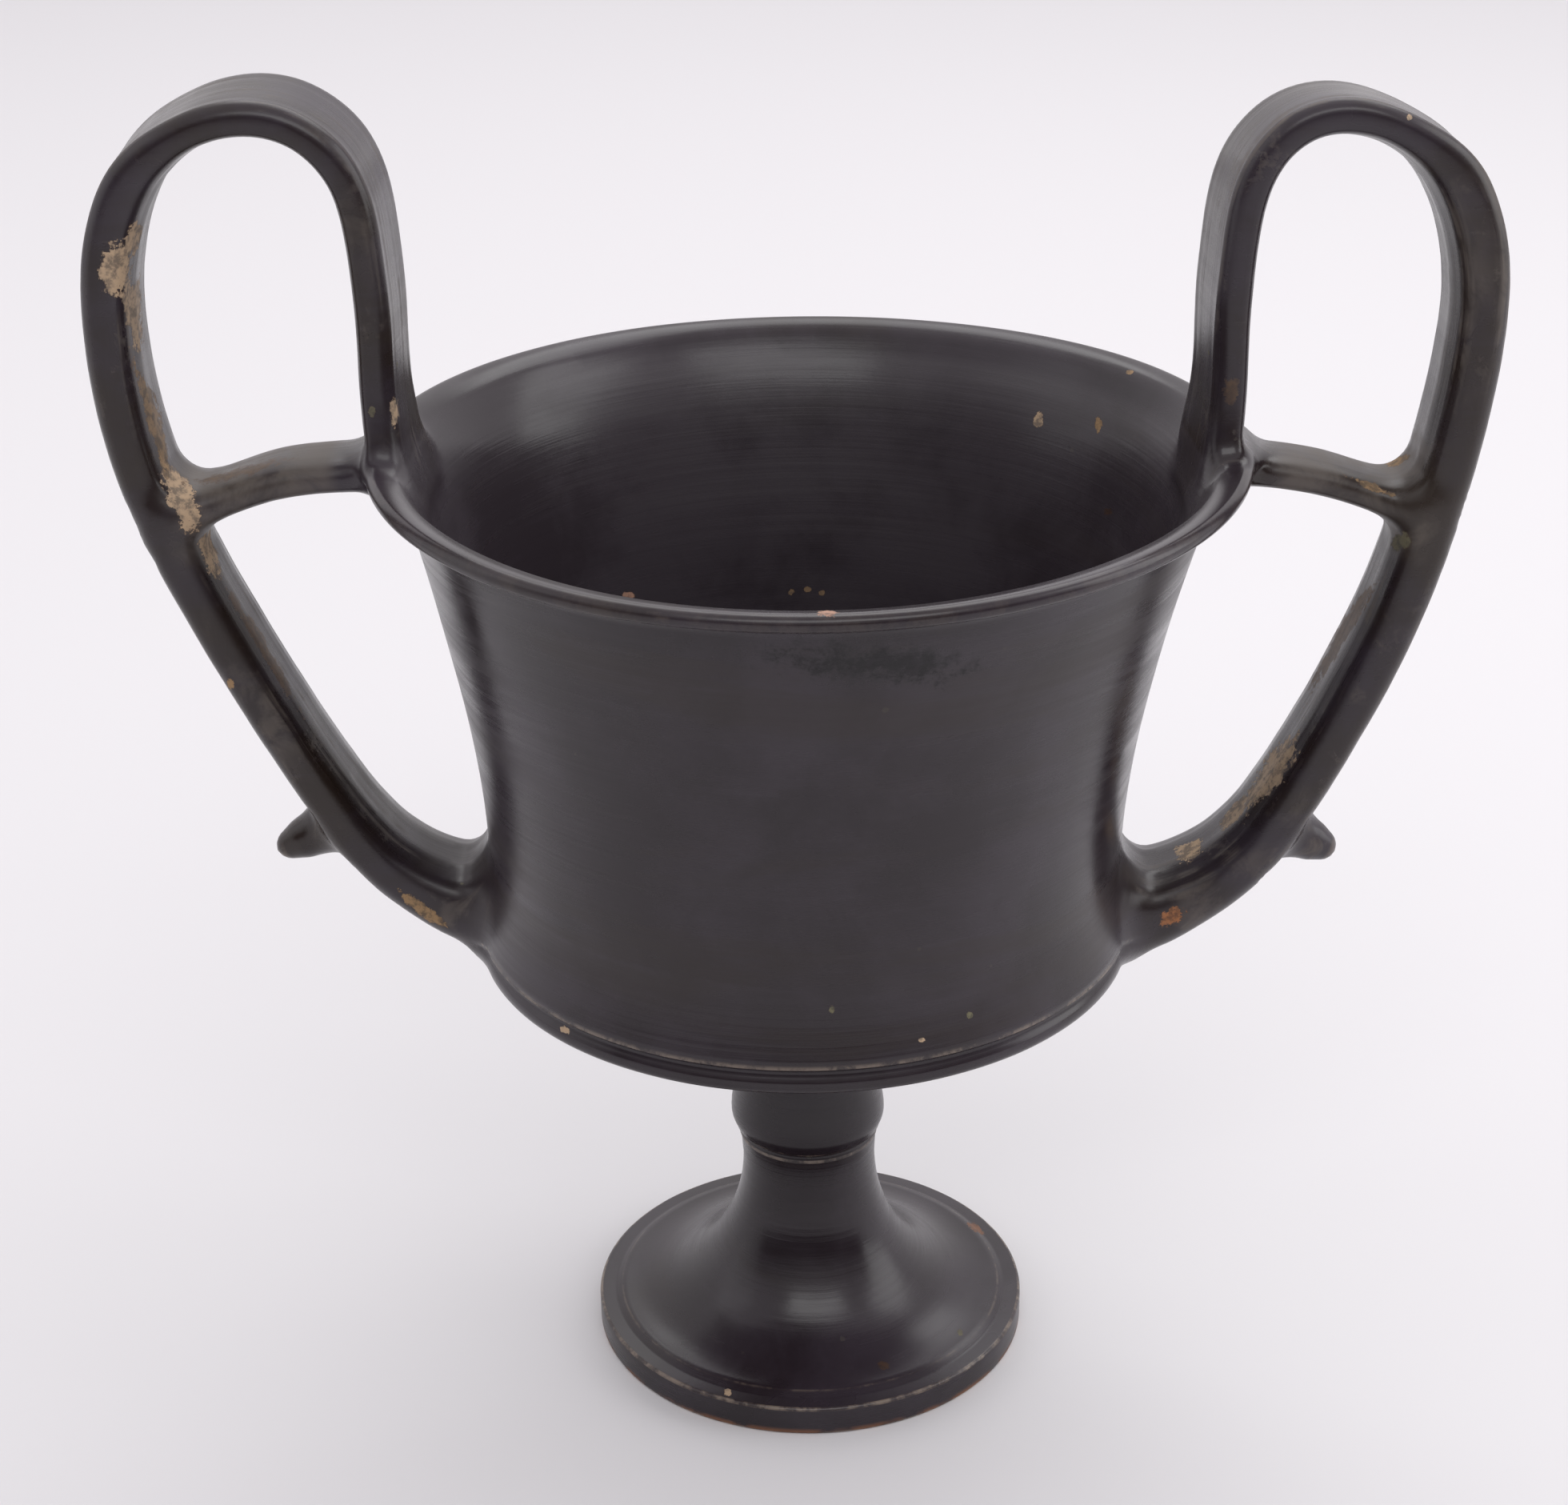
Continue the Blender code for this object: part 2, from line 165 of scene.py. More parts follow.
class Board:
    """A node tree that nodes are added to, for a shader or for geometry."""

    def __init__(self, tree: bpy.types.NodeTree) -> None:
        """Starts on a tree as it is."""
        self.tree = tree

    def add(self, kind: str, settings: dict[str, Any] | None = None,
            sockets: dict[Any, Any] | None = None, output: int | str = 0) -> Wire:
        """Adds one node.

        Args:
            kind: The node's type.
            settings: Its properties, set first.
            sockets: Values or wires by input name or index.
            output: Name or index of the output to hand back.

        Returns:
            The chosen output as a wire.
        """
        node = self.tree.nodes.new(kind)
        for name, value in (settings or {}).items():
            setattr(node, name, value)
        for key, value in (sockets or {}).items():
            self.feed(node.inputs[key], value)
        if len(node.outputs) == 0:
            return Wire(self, node.inputs[0])
        return Wire(self, node.outputs[output])

    def feed(self, socket: bpy.types.NodeSocket, value: Any) -> None:
        """Links a wire to an input, or sets the input's own value."""
        if isinstance(value, Wire):
            self.tree.links.new(value.socket, socket)
        else:
            socket.default_value = value

    def noise(self, place: Wire, scale: float, detail: float = 3.0, roughness: float = 0.5,
              distortion: float = 0.0) -> Wire:
        """Noise from 0 to 1 at a place."""
        sockets = {"Vector": place, "Scale": scale, "Detail": detail, "Roughness": roughness,
                   "Distortion": distortion}
        return self.add("ShaderNodeTexNoise", {}, sockets)

    def stretch(self, place: Wire, scale: Sequence[float], shift: Sequence[float] = (0.0, 0.0, 0.0)) -> Wire:
        """A place scaled by axis, so that noise on it runs in streaks."""
        return self.add("ShaderNodeMapping", {}, {"Vector": place, "Scale": scale, "Location": shift})

    def blend(self, share: Any, first: Any, second: Any) -> Wire:
        """Mixes two colours by a share."""
        return self.add("ShaderNodeMix", {"data_type": "RGBA"}, {0: share, 6: first, 7: second}, 2)


def opaque(colour: Sequence[float]) -> tuple[float, float, float, float]:
    """A linear colour with full alpha."""
    return (colour[0], colour[1], colour[2], 1.0)


def new_material(name: str) -> tuple[bpy.types.Material, Board, Wire]:
    """Makes a material with an empty tree.

    Args:
        name: The material's name.

    Returns:
        The material, its board, and the surface input of its output node.
    """
    material = bpy.data.materials.new(name)
    material.use_nodes = True
    material.node_tree.nodes.clear()
    board = Board(material.node_tree)
    return material, board, board.add("ShaderNodeOutputMaterial")


def spread(first: float, last: float, count: int) -> list[float]:
    """Evenly spaced values from first to last, both included."""
    return [first + (last - first) * index / (count - 1) for index in range(count)]


def arc(centre: Pair, radius: float, start_deg: float, stop_deg: float, count: int) -> list[Pair]:
    """Points on a circular arc in a profile's plane."""
    angles = [math.radians(angle) for angle in spread(start_deg, stop_deg, count)]
    return [(centre[0] + radius * math.cos(a), centre[1] + radius * math.sin(a)) for a in angles]


def catmull_rom(knots: Sequence[Sequence[float]], steps: int) -> list[tuple[float, ...]]:
    """Smooth curve through knots of any one length.

    Args:
        knots: The points to pass through.
        steps: Points to make for each stretch between two knots.

    Returns:
        The curve's points, from the first knot to the last.
    """
    before_first = tuple(2.0 * a - b for a, b in zip(knots[0], knots[1]))
    after_last = tuple(2.0 * a - b for a, b in zip(knots[-1], knots[-2]))
    run = [before_first, *knots, after_last]
    path = []
    for before, start, stop, after in zip(run, run[1:], run[2:], run[3:]):
        for step in range(steps):
            t = step / steps
            path.append(tuple(
                0.5 * (2.0 * s + (e - b) * t + (2.0 * b - 5.0 * s + 4.0 * e - a) * t ** 2
                       + (3.0 * s - b - 3.0 * e + a) * t ** 3)
                for b, s, e, a in zip(before, start, stop, after)))
    path.append(tuple(knots[-1]))
    return path


def evened(path: Sequence[Sequence[float]], spacing: float, softness: float) -> list[tuple[float, ...]]:
    """Spaces a path evenly and takes the sudden turns out of it.

    Args:
        path: Stations whose first two numbers are their place.
        spacing: Distance between the new stations.
        softness: Distance over which the stations are averaged; the two ends stay.

    Returns:
        The new stations.
    """
    old = np.array(path)
    steps = np.hypot(*np.diff(old[:, :2], axis=0).T)
    along = np.concatenate([[0.0], np.cumsum(steps)])
    count = int(round(along[-1] / spacing)) + 1
    stops = np.linspace(0.0, along[-1], count)
    even = np.stack([np.interp(stops, along, column) for column in old.T], axis=1)
    half = int(math.ceil(3.0 * softness / spacing))
    offsets = np.arange(-half, half + 1) * spacing
    weights = np.exp(-0.5 * (offsets / softness) ** 2)
    weights /= weights.sum()
    before = 2.0 * even[0] - even[half:0:-1]
    after = 2.0 * even[-1] - even[-2:-half - 2:-1]
    longer = np.concatenate([before, even, after])
    soft = np.stack([np.convolve(column, weights, mode="valid") for column in longer.T], axis=1)
    return [tuple(row) for row in soft]


def chain_mesh(name: str, points: Sequence[Sequence[float]], closed: bool,
               values: dict[str, Sequence[Any]]) -> bpy.types.Mesh:
    """Makes a chain of edges that carries values on its points.

    Args:
        name: The mesh's name.
        points: Places along the chain.
        closed: Whether the last point joins the first.
        values: Numbers or vectors for each point, by attribute name.

    Returns:
        The mesh.
    """
    count = len(points)
    edges = [(index, (index + 1) % count) for index in range(count if closed else count - 1)]
    mesh = bpy.data.meshes.new(name)
    mesh.from_pydata([tuple(point) for point in points], edges, [])
    for key, numbers in values.items():
        flat = np.asarray(numbers, np.float32)
        kind, member = ("FLOAT", "value") if flat.ndim == 1 else ("FLOAT_VECTOR", "vector")
        mesh.attributes.new(key, kind, "POINT").data.foreach_set(member, flat.ravel())
    return mesh


def new_object(name: str, mesh: bpy.types.Mesh) -> bpy.types.Object:
    """An object at the origin, linked into the scene."""
    item = bpy.data.objects.new(name, mesh)
    bpy.context.scene.collection.objects.link(item)
    return item


def outward(mesh: bpy.types.Mesh) -> bpy.types.Mesh:
    """Welds a closed mesh and turns its faces outwards."""
    shape = bmesh.new()
    shape.from_mesh(mesh)
    bmesh.ops.remove_doubles(shape, verts=shape.verts, dist=1e-7)
    bmesh.ops.recalc_face_normals(shape, faces=shape.faces)
    shape.to_mesh(mesh)
    shape.free()
    return mesh


class FormTree:
    """A Geometry Nodes tree with named inputs, which ends in Realize Instances and Set Material."""

    def __init__(self, name: str, inputs: dict[str, tuple[str, Any]]) -> None:
        """Starts the tree.

        Args:
            name: The tree's name.
            inputs: Socket type and default value by input name.
        """
        self.tree = bpy.data.node_groups.new(name, "GeometryNodeTree")
        self.sockets: dict[str, str] = {}
        self._declare("Geometry", "INPUT", "NodeSocketGeometry")
        for label, (kind, value) in inputs.items():
            socket = self._declare(label, "INPUT", kind)
            if value is not None:
                socket.default_value = value
        self._declare("Material", "INPUT", "NodeSocketMaterial")
        self._declare("Geometry", "OUTPUT", "NodeSocketGeometry")
        self.board = Board(self.tree)
        self.entry = self.tree.nodes.new("NodeGroupInput")

    def _declare(self, label: str, way: str, kind: str) -> Any:
        """Adds one socket to the tree's interface and keeps its identifier."""
        socket = self.tree.interface.new_socket(label, in_out=way, socket_type=kind)
        if way == "INPUT":
            self.sockets[label] = socket.identifier
        return socket

    def input(self, label: str) -> Wire:
        """A named input as a wire."""
        return Wire(self.board, self.entry.outputs[label])

    def value(self, name: str, kind: str = "FLOAT") -> Wire:
        """A named attribute of the geometry."""
        return self.board.add("GeometryNodeInputNamedAttribute", {"data_type": kind}, {"Name": name})

    def close(self, shape: Wire) -> None:
        """Ends the tree on a smooth-shaded, real mesh with the material set."""
        smooth = self.board.add("GeometryNodeSetShadeSmooth", {}, {"Geometry": shape})
        real = self.board.add("GeometryNodeRealizeInstances", {}, {"Geometry": smooth})
        painted = self.board.add("GeometryNodeSetMaterial", {},
                                 {"Geometry": real, "Material": self.input("Material")})
        leave = self.tree.nodes.new("NodeGroupOutput")
        self.tree.links.new(painted.socket, leave.inputs["Geometry"])

    def make(self, name: str, mesh: bpy.types.Mesh, values: dict[str, Any]) -> bpy.types.Object:
        """Runs the tree on a mesh.

        Args:
            name: The new object's name.
            mesh: What the tree starts from.
            values: Values of the named inputs.

        Returns:
            A plain mesh object, with its faces outwards and no modifier.
        """
        maker = new_object(name + "_maker", mesh)
        modifier = maker.modifiers.new("form", "NODES")
        modifier.node_group = self.tree
        for label, value in values.items():
            modifier[self.sockets[label]] = value
        bpy.context.view_layer.update()
        shaped = maker.evaluated_get(bpy.context.evaluated_depsgraph_get())
        plain = bpy.data.meshes.new_from_object(shaped)
        bpy.data.objects.remove(maker)
        bpy.data.meshes.remove(mesh)
        plain.name = name
        return new_object(name, outward(plain))


def turning_tree() -> FormTree:
    """Tree that turns a profile round the Z axis, a little out of true as a thrown pot is."""
    form = FormTree("turned_form", {
        "Steps Round": ("NodeSocketInt", 224),
        "Rim Height": ("NodeSocketFloat", 0.19),
        "Saddle": ("NodeSocketFloat", 0.0),
        "Tip": ("NodeSocketFloat", 0.0),
        "Flattening": ("NodeSocketFloat", 0.0),
        "Lean": ("NodeSocketFloat", 0.0),
        "Lean Level": ("NodeSocketFloat", 0.1),
        "Unevenness": ("NodeSocketFloat", 0.0),
        "Seed": ("NodeSocketFloat", 0.0),
    })
    board = form.board
    circle = board.add("GeometryNodeCurvePrimitiveCircle", {"mode": "RADIUS"},
                       {"Resolution": form.input("Steps Round"), "Radius": 1.0})
    here = board.add("GeometryNodeInputPosition")
    marked = board.add("GeometryNodeStoreNamedAttribute", {"data_type": "FLOAT_VECTOR", "domain": "POINT"},
                       {"Geometry": circle, "Name": "around", "Value": here})
    profile = board.add("GeometryNodeMeshToCurve", {}, {"Mesh": form.input("Geometry")})
    swept = board.add("GeometryNodeCurveToMesh", {}, {"Curve": marked, "Profile Curve": profile})
    around = form.value("around", "FLOAT_VECTOR")
    radius = form.value("turn_radius")
    height = form.value("turn_height")
    east = board.add("ShaderNodeSeparateXYZ", {}, {"Vector": around}, "X")
    north = board.add("ShaderNodeSeparateXYZ", {}, {"Vector": around}, "Y")

    place = board.add("ShaderNodeCombineXYZ", {}, {"X": east, "Y": north, "Z": height * 14.0})
    ripple = board.add("ShaderNodeTexNoise", {"noise_dimensions": "4D"},
                       {"Vector": place, "W": form.input("Seed"), "Scale": 1.3, "Detail": 2.0})
    uneven = (ripple - 0.5) * form.input("Unevenness")
    share = (height / form.input("Rim Height")).step(0.80, 1.0)
    flat = (east * -1.0).step(0.3, 1.0) * share * form.input("Flattening")
    out = radius + uneven * (radius * 25.0).least(1.0) - flat
    lift = share * (form.input("Saddle") * (east * east - north * north) + form.input("Tip") * north)
    drift = (height - form.input("Lean Level")) * form.input("Lean") * height.step(0.03, 0.09)
    moved = board.add("ShaderNodeCombineXYZ", {},
                      {"X": east * out + drift, "Y": north * out, "Z": height + lift})
    turned = board.add("GeometryNodeSetPosition", {}, {"Geometry": swept, "Position": moved})
    welded = board.add("GeometryNodeMergeByDistance", {}, {"Geometry": turned, "Distance": 1e-6})
    form.close(welded)
    return form


def sweeping_tree() -> FormTree:
    """Tree that sweeps a closed section along a path whose points carry their own sizes."""
    form = FormTree("swept_bar", {
        "Section": ("NodeSocketObject", None),
        "Unevenness": ("NodeSocketFloat", 0.0),
        "Seed": ("NodeSocketFloat", 0.0),
    })
    board = form.board
    path = board.add("GeometryNodeMeshToCurve", {}, {"Mesh": form.input("Geometry")})
    ring = board.add("GeometryNodeObjectInfo", {}, {"Object": form.input("Section")}, "Geometry")
    section = board.add("GeometryNodeMeshToCurve", {}, {"Mesh": ring})
    swept = board.add("GeometryNodeCurveToMesh", {},
                      {"Curve": path, "Profile Curve": section, "Fill Caps": True})
    spine = form.value("spine", "FLOAT_VECTOR")
    out = form.value("out", "FLOAT_VECTOR")
    across = form.value("across") * form.value("half_width")
    through = form.value("through") * form.value("half_thickness")
    lumps = board.add("ShaderNodeTexNoise", {"noise_dimensions": "4D"},
                      {"Vector": spine, "W": form.input("Seed"), "Scale": 90.0, "Detail": 2.0})
    thicker = through * (1.0 + (lumps - 0.5) * form.input("Unevenness"))
    outward_part = board.add("ShaderNodeVectorMath", {"operation": "SCALE"}, {0: out, "Scale": thicker})
    from_near_edge = across + form.value("half_width")
    sideways = board.add("ShaderNodeCombineXYZ", {}, {
        "X": from_near_edge * form.value("skew"), "Y": across, "Z": across * form.value("twist")})
    nearly = board.add("ShaderNodeVectorMath", {"operation": "ADD"}, {0: spine, 1: outward_part})
    place = board.add("ShaderNodeVectorMath", {"operation": "ADD"}, {0: nearly, 1: sideways})
    form.close(board.add("GeometryNodeSetPosition", {}, {"Geometry": swept, "Position": place}))
    return form


@dataclass
class Cup:
    """The turned part: bowl, stem and foot. Sizes are in metres, as on the solid."""

    rim_height: float = 0.1908
    rim_radius: float = 0.0817
    lip_thickness: float = 0.0032
    lip_depth: float = 0.0048
    lip_overhang: float = 0.0061
    inner_flare_depth: float = 0.0230
    inner_flare_power: float = 3.2
    wall_thickness: float = 0.0042
    waist_radius: float = 0.0613
    waist_over_keel: float = 0.0138
    wall_flare_power: float = 1.75
    keel_radius: float = 0.0637
    keel_height: float = 0.0952
    keel_groove_depth: float = 0.0009
    keel_groove_width: float = 0.0020
    keel_roll_height: float = 0.0030
    keel_flare_power: float = 1.6
    bowl_foot_height: float = 0.0665
    bowl_bulge: float = 0.0012
    bowl_edge_step: float = 0.0014
    floor_thickness: float = 0.0055
    bulb_radius: float = 0.0155
    bulb_height: float = 0.0498
    bulb_collar_radius: float = 0.0140
    bulb_collar_drop: float = 0.0048
    stem_radius: float = 0.0134
    stem_neck_height: float = 0.0385
    foot_radius: float = 0.0439
    foot_edge_height: float = 0.0061
    foot_band_width: float = 0.0047
    foot_band_drop: float = 0.0010
    foot_edge_rounding: float = 0.0007
    foot_ring_width: float = 0.0060
    foot_ring_height: float = 0.0034
    foot_hollow_height: float = 0.0200
    foot_hollow_power: float = 1.2
    steps_round: int = 224
    saddle: float = 0.0006
    tip: float = 0.00050
    flattening: float = 0.0011
    lean: float = 0.009
    lean_level: float = 0.150
    unevenness: float = 0.0005
    seed: float = 3.0

    @property
    def waist_height(self) -> float:
        """Height of the narrowest place of the wall."""
        return self.keel_height + self.waist_over_keel

    def wall_radius(self, height: float) -> float:
        """Outer radius of the wall at a height between the keel and the lip."""
        if height < self.waist_height:
            share = (self.waist_height - height) / self.waist_over_keel
            return self.waist_radius + (self.keel_radius - self.waist_radius) * share ** self.keel_flare_power
        share = (height - self.waist_height) / (self.rim_height - self.lip_depth - self.waist_height)
        under_lip = self.rim_radius - self.lip_overhang
        return self.waist_radius + (under_lip - self.waist_radius) * share ** self.wall_flare_power

    def inside(self) -> list[Pair]:
        """From the middle of the floor up the inner wall to just under the lip."""
        corner_height = self.keel_height + self.wall_thickness
        corner_radius = self.wall_radius(corner_height) - self.wall_thickness
        centre_height = self.bowl_foot_height + self.floor_thickness
        depth = corner_height - centre_height
        floor = []
        for share in spread(0.0, 0.985, 20):
            floor.append((corner_radius * share, centre_height + depth * (1.0 - math.sqrt(1.0 - share ** 2))))
        heights = spread(corner_height, self.inner_top, 48)
        return floor + [(self.inner_radius(height), height) for height in heights]

    @property
    def inner_top(self) -> float:
        """Height at which the inner wall runs into the lip's rounding."""
        return self.rim_height - self.lip_thickness / 4.0

    def inner_radius(self, height: float) -> float:
        """Inner radius, which flares softly towards the lip."""
        lip_start = self.rim_radius - self.lip_thickness - self.lip_overhang / 3.0
        flare = lip_start - (self.wall_radius(self.inner_top) - self.wall_thickness)
        share = max(height - (self.inner_top - self.inner_flare_depth), 0.0) / self.inner_flare_depth
        return self.wall_radius(height) - self.wall_thickness + flare * share ** self.inner_flare_power

    def lip(self) -> list[Pair]:
        """Thin rounded lip, turned outward over the wall."""
        rounding = self.lip_thickness / 2.0
        centre = (self.rim_radius - rounding, self.rim_height - rounding)
        return arc(centre, rounding, 95.0, -95.0, 15)

    def outside(self) -> list[Pair]:
        """Outer wall from under the lip down to the keel's arris."""
        upper = spread(self.rim_height - self.lip_depth, self.waist_height, 40)
        lower = spread(self.waist_height, self.keel_height, 10)[1:]
        return [(self.wall_radius(height), height) for height in upper + lower]

    def keel(self) -> list[Pair]:
        """Fine groove under the arris and the low rounded moulding below it."""
        groove = self.keel_height - self.keel_groove_width / 2.0
        roll_top = self.keel_height - self.keel_groove_width
        middle = roll_top - self.keel_roll_height / 2.0
        depth = self.keel_groove_depth
        roll = []
        for share in spread(-1.0, 1.0, 7):
            bulge = math.sqrt(1.0 - (0.9 * share) ** 2)
            roll.append((self.keel_radius - depth * (1.0 - bulge),
                         middle - share * self.keel_roll_height / 2.0))
        return [(self.keel_radius - depth * 0.75, groove + self.keel_groove_width / 4.0),
                (self.keel_radius - depth, groove),
                (self.keel_radius - depth * 0.9, groove - self.keel_groove_width / 4.0), *roll]

    def underside(self) -> list[Pair]:
        """Shallow convex underside of the bowl, in to the stem."""
        start = self.keel_radius - self.keel_groove_depth - self.bowl_edge_step
        high = self.keel_height - self.keel_groove_width - self.keel_roll_height - self.keel_groove_depth
        points = []
        for share in spread(0.0, 1.0, 18):
            radius = start + (self.bulb_radius + self.bowl_bulge - start) * share
            sag = self.bowl_bulge * math.sin(math.pi * share)
            points.append((radius, high + (self.bowl_foot_height - high) * share - sag))
        return points

    def stem(self) -> list[Pair]:
        """Swelling under the bowl, the fine ledge below it and the way into the neck."""
        collar = self.bulb_height - self.bulb_collar_drop
        knots = [(self.bulb_collar_radius + 0.0004, self.bowl_foot_height - 1.6 * self.bowl_bulge),
                 (self.bulb_collar_radius, (self.bowl_foot_height * 0.6 + self.bulb_height * 0.4)),
                 (self.bulb_radius, self.bulb_height),
                 ((self.bulb_radius * 0.4 + self.bulb_collar_radius * 0.6), collar + 0.0009)]
        ledge_steps = ((-0.0004, 0.0), (-0.0002, -0.0005), (0.0, -0.0010), (-0.0003, -0.0017))
        ledge = [(self.bulb_collar_radius + out, collar + up) for out, up in ledge_steps]
        return catmull_rom(knots, 6) + ledge

    def trumpet(self, share: float) -> Pair:
        """Foot's upper surface: 0 at the neck, 1 where the low band starts."""
        outer = self.foot_radius - self.foot_band_width
        low = self.foot_edge_height + self.foot_band_drop
        angle = share * math.pi / 2.0
        return (self.stem_radius + (outer - self.stem_radius) * (1.0 - math.cos(angle)),
                self.stem_neck_height + (low - self.stem_neck_height) * math.sin(angle))

    def foot(self) -> list[Pair]:
        """Trumpet foot with a low band at its edge, down to the ground."""
        edge = self.foot_edge_rounding
        band = self.foot_edge_height
        inner_band = self.foot_radius - self.foot_band_width + self.foot_band_drop
        top = [self.trumpet(share) for share in spread(0.0, 1.0, 34)]
        rounded = arc((self.foot_radius - edge, band - edge), edge, 90.0, 0.0, 5)
        foot_of_band = arc((self.foot_radius - edge, edge), edge, 0.0, -90.0, 5)
        return [*top, (inner_band, band + 0.1 * self.foot_band_drop), (inner_band + 0.0006, band),
                *rounded, (self.foot_radius, band * 0.6), (self.foot_radius, band * 0.35), *foot_of_band]

    def hollow(self) -> list[Pair]:
        """Flat standing ring and the hollow inside it, up to the axis."""
        ring_inner = self.foot_radius - self.foot_ring_width
        rise = self.foot_hollow_height - self.foot_ring_height
        points = [(ring_inner, 0.0)]
        for share in spread(0.05, 1.0, 14):
            points.append((ring_inner * (1.0 - share),
                           self.foot_ring_height + rise * share ** self.foot_hollow_power))
        return points

    def build(self, form: FormTree, material: bpy.types.Material) -> bpy.types.Object:
        """Turns the whole profile into one closed mesh."""
        parts = (self.inside(), self.lip(), self.outside(), self.keel(), self.underside(), self.stem(),
                 self.foot(), self.hollow())
        outline = [point for part in parts for point in part]
        values = {"turn_radius": [radius for radius, _ in outline],
                  "turn_height": [height for _, height in outline]}
        mesh = chain_mesh("cup_profile", [(radius, 0.0, height) for radius, height in outline], False, values)
        LOG.info("cup profile: %d points", len(outline))
        return form.make("cup", mesh, {
            "Steps Round": self.steps_round, "Rim Height": self.rim_height, "Saddle": self.saddle,
            "Tip": self.tip, "Flattening": self.flattening, "Lean": self.lean,
            "Lean Level": self.lean_level, "Unevenness": self.unevenness, "Seed": self.seed,
            "Material": material,
        })


@dataclass
class StrapHandle:
    """One high strap handle with its strut and spur. Sizes are in metres, as on the solid."""

    cup: Cup
    hand: Hand
    rise: float
    reach: float
    root_over_keel: float
    shoulder_thickness: float
    back_thickness: float
    belly: float
    hip: float
    crown: float
    strut_width: float
    strut_thickness: float
    strut_below_lip: float
    strut_arch: float
    spur_length: float
    loop_twist: float
    lean_in: float
    width: float = 0.0216
    thickness: float = 0.0075
    root_thickness: float = 0.0195
    root_width: float = 0.0270
    leg_inset: float = 0.0050
    strut_flare: float = 0.0034
    strut_back_drop: float = 0.0068
    spur_base_radius: float = 0.0049
    spur_tip_radius: float = 0.0011
    spur_slope_deg: float = 27.0
    spur_height_over_root: float = 0.0172
    spur_taper: tuple[Pair, ...] = ((0.0, 1.15), (0.35, 1.0), (0.65, 0.82), (0.85, 0.58), (1.0, 0.40))
    spacing: float = 0.0013
    softness: float = 0.0030
    strap_sides: int = 44
    strap_squareness: float = 3.2
    strap_dish: float = 0.16
    strap_bead: float = 0.10
    strut_sides: int = 28
    strut_squareness: float = 2.6
    spur_sides: int = 24
    unevenness: float = 0.10

    @property
    def name(self) -> str:
        """left or right."""
        return self.hand.name.lower()

    @property
    def root_height(self) -> float:
        """Height of the middle of the strap where it enters the wall."""
        return self.cup.keel_height + self.root_over_keel

    def strap_path(self) -> list[tuple[float, ...]]:
        """Strap as (x, z, thickness, width, twist, skew), from inside the lip to its root in the wall."""
        cup = self.cup
        leg = cup.rim_radius - self.leg_inset
        back = self.reach - self.back_thickness / 2.0
        lift = self.rise - self.thickness / 2.0
        widest = cup.rim_height + 0.464 * lift
        root_x = cup.wall_radius(self.root_height)

        def upper(out: float, up: float, thickness: float, width: float = self.width,
                  raised: float = 0.0) -> tuple[float, ...]:
            """Station above the lip, as shares of the loop's span and rise."""
            return (leg + (back - leg) * out, cup.rim_height + lift * up + raised, thickness, width,
                    self.loop_twist * max(up, 0.0), self.lean_in * (1.0 - out))

        def lower(out: float, up: float, thickness: float, width: float = self.width,
                  shifted: float = 0.0) -> tuple[float, ...]:
            """Station below the widest place, as shares of its reach and height over the root."""
            return (root_x + (back - root_x) * out + shifted,
                    self.root_height + (widest - self.root_height) * up, thickness, width, 0.0, 0.0)

        thick = self.back_thickness
        swell = self.root_thickness - thick
        spreading = self.root_width - self.width
        lip_wall = cup.rim_height - 2.0 * cup.lip_depth
        knots = [
            (cup.wall_radius(lip_wall) - cup.wall_thickness / 2.0, lip_wall,
             self.thickness / 2.0, self.width, 0.0, 0.0),
            upper(-0.032, -0.062, self.thickness, self.root_width),
            upper(0.0, 0.17, self.thickness),
            upper(0.0, 0.48, self.thickness),
            upper(0.046, 0.79, self.thickness, raised=0.5 * self.crown),
            upper(0.188, 0.943, self.thickness, raised=self.crown),
            upper(0.40, 1.0, self.thickness, raised=0.6 * self.crown),
            upper(0.656, 0.955, self.thickness),
            upper(0.888, 0.795, self.shoulder_thickness),
            upper(1.0, 0.464, thick),
            lower(0.953, 0.742, thick, shifted=self.hip),
            lower(0.738, 0.451, thick, shifted=self.belly),
            lower(0.391, 0.126, thick + 0.04 * swell, self.width + 0.1 * spreading, self.belly),
            lower(0.12, 0.012, thick + 0.34 * swell, self.width + 0.4 * spreading),
            (root_x - 0.6 * cup.wall_thickness, self.root_height,
             self.root_thickness, self.root_width, 0.0, 0.0),
        ]
        return evened(catmull_rom(knots, 24), self.spacing, self.softness)

    def point_on(self, path: Sequence[tuple[float, ...]], height: float) -> tuple[float, ...]:
        """Station on the strap's back leg at a height, below its widest place."""
        found = path[-1]
        for first, second in zip(path, path[1:]):
            if second[1] < height <= first[1]:
                share = (first[1] - height) / (first[1] - second[1])
                found = tuple(a + (b - a) * share for a, b in zip(first, second))
        return found

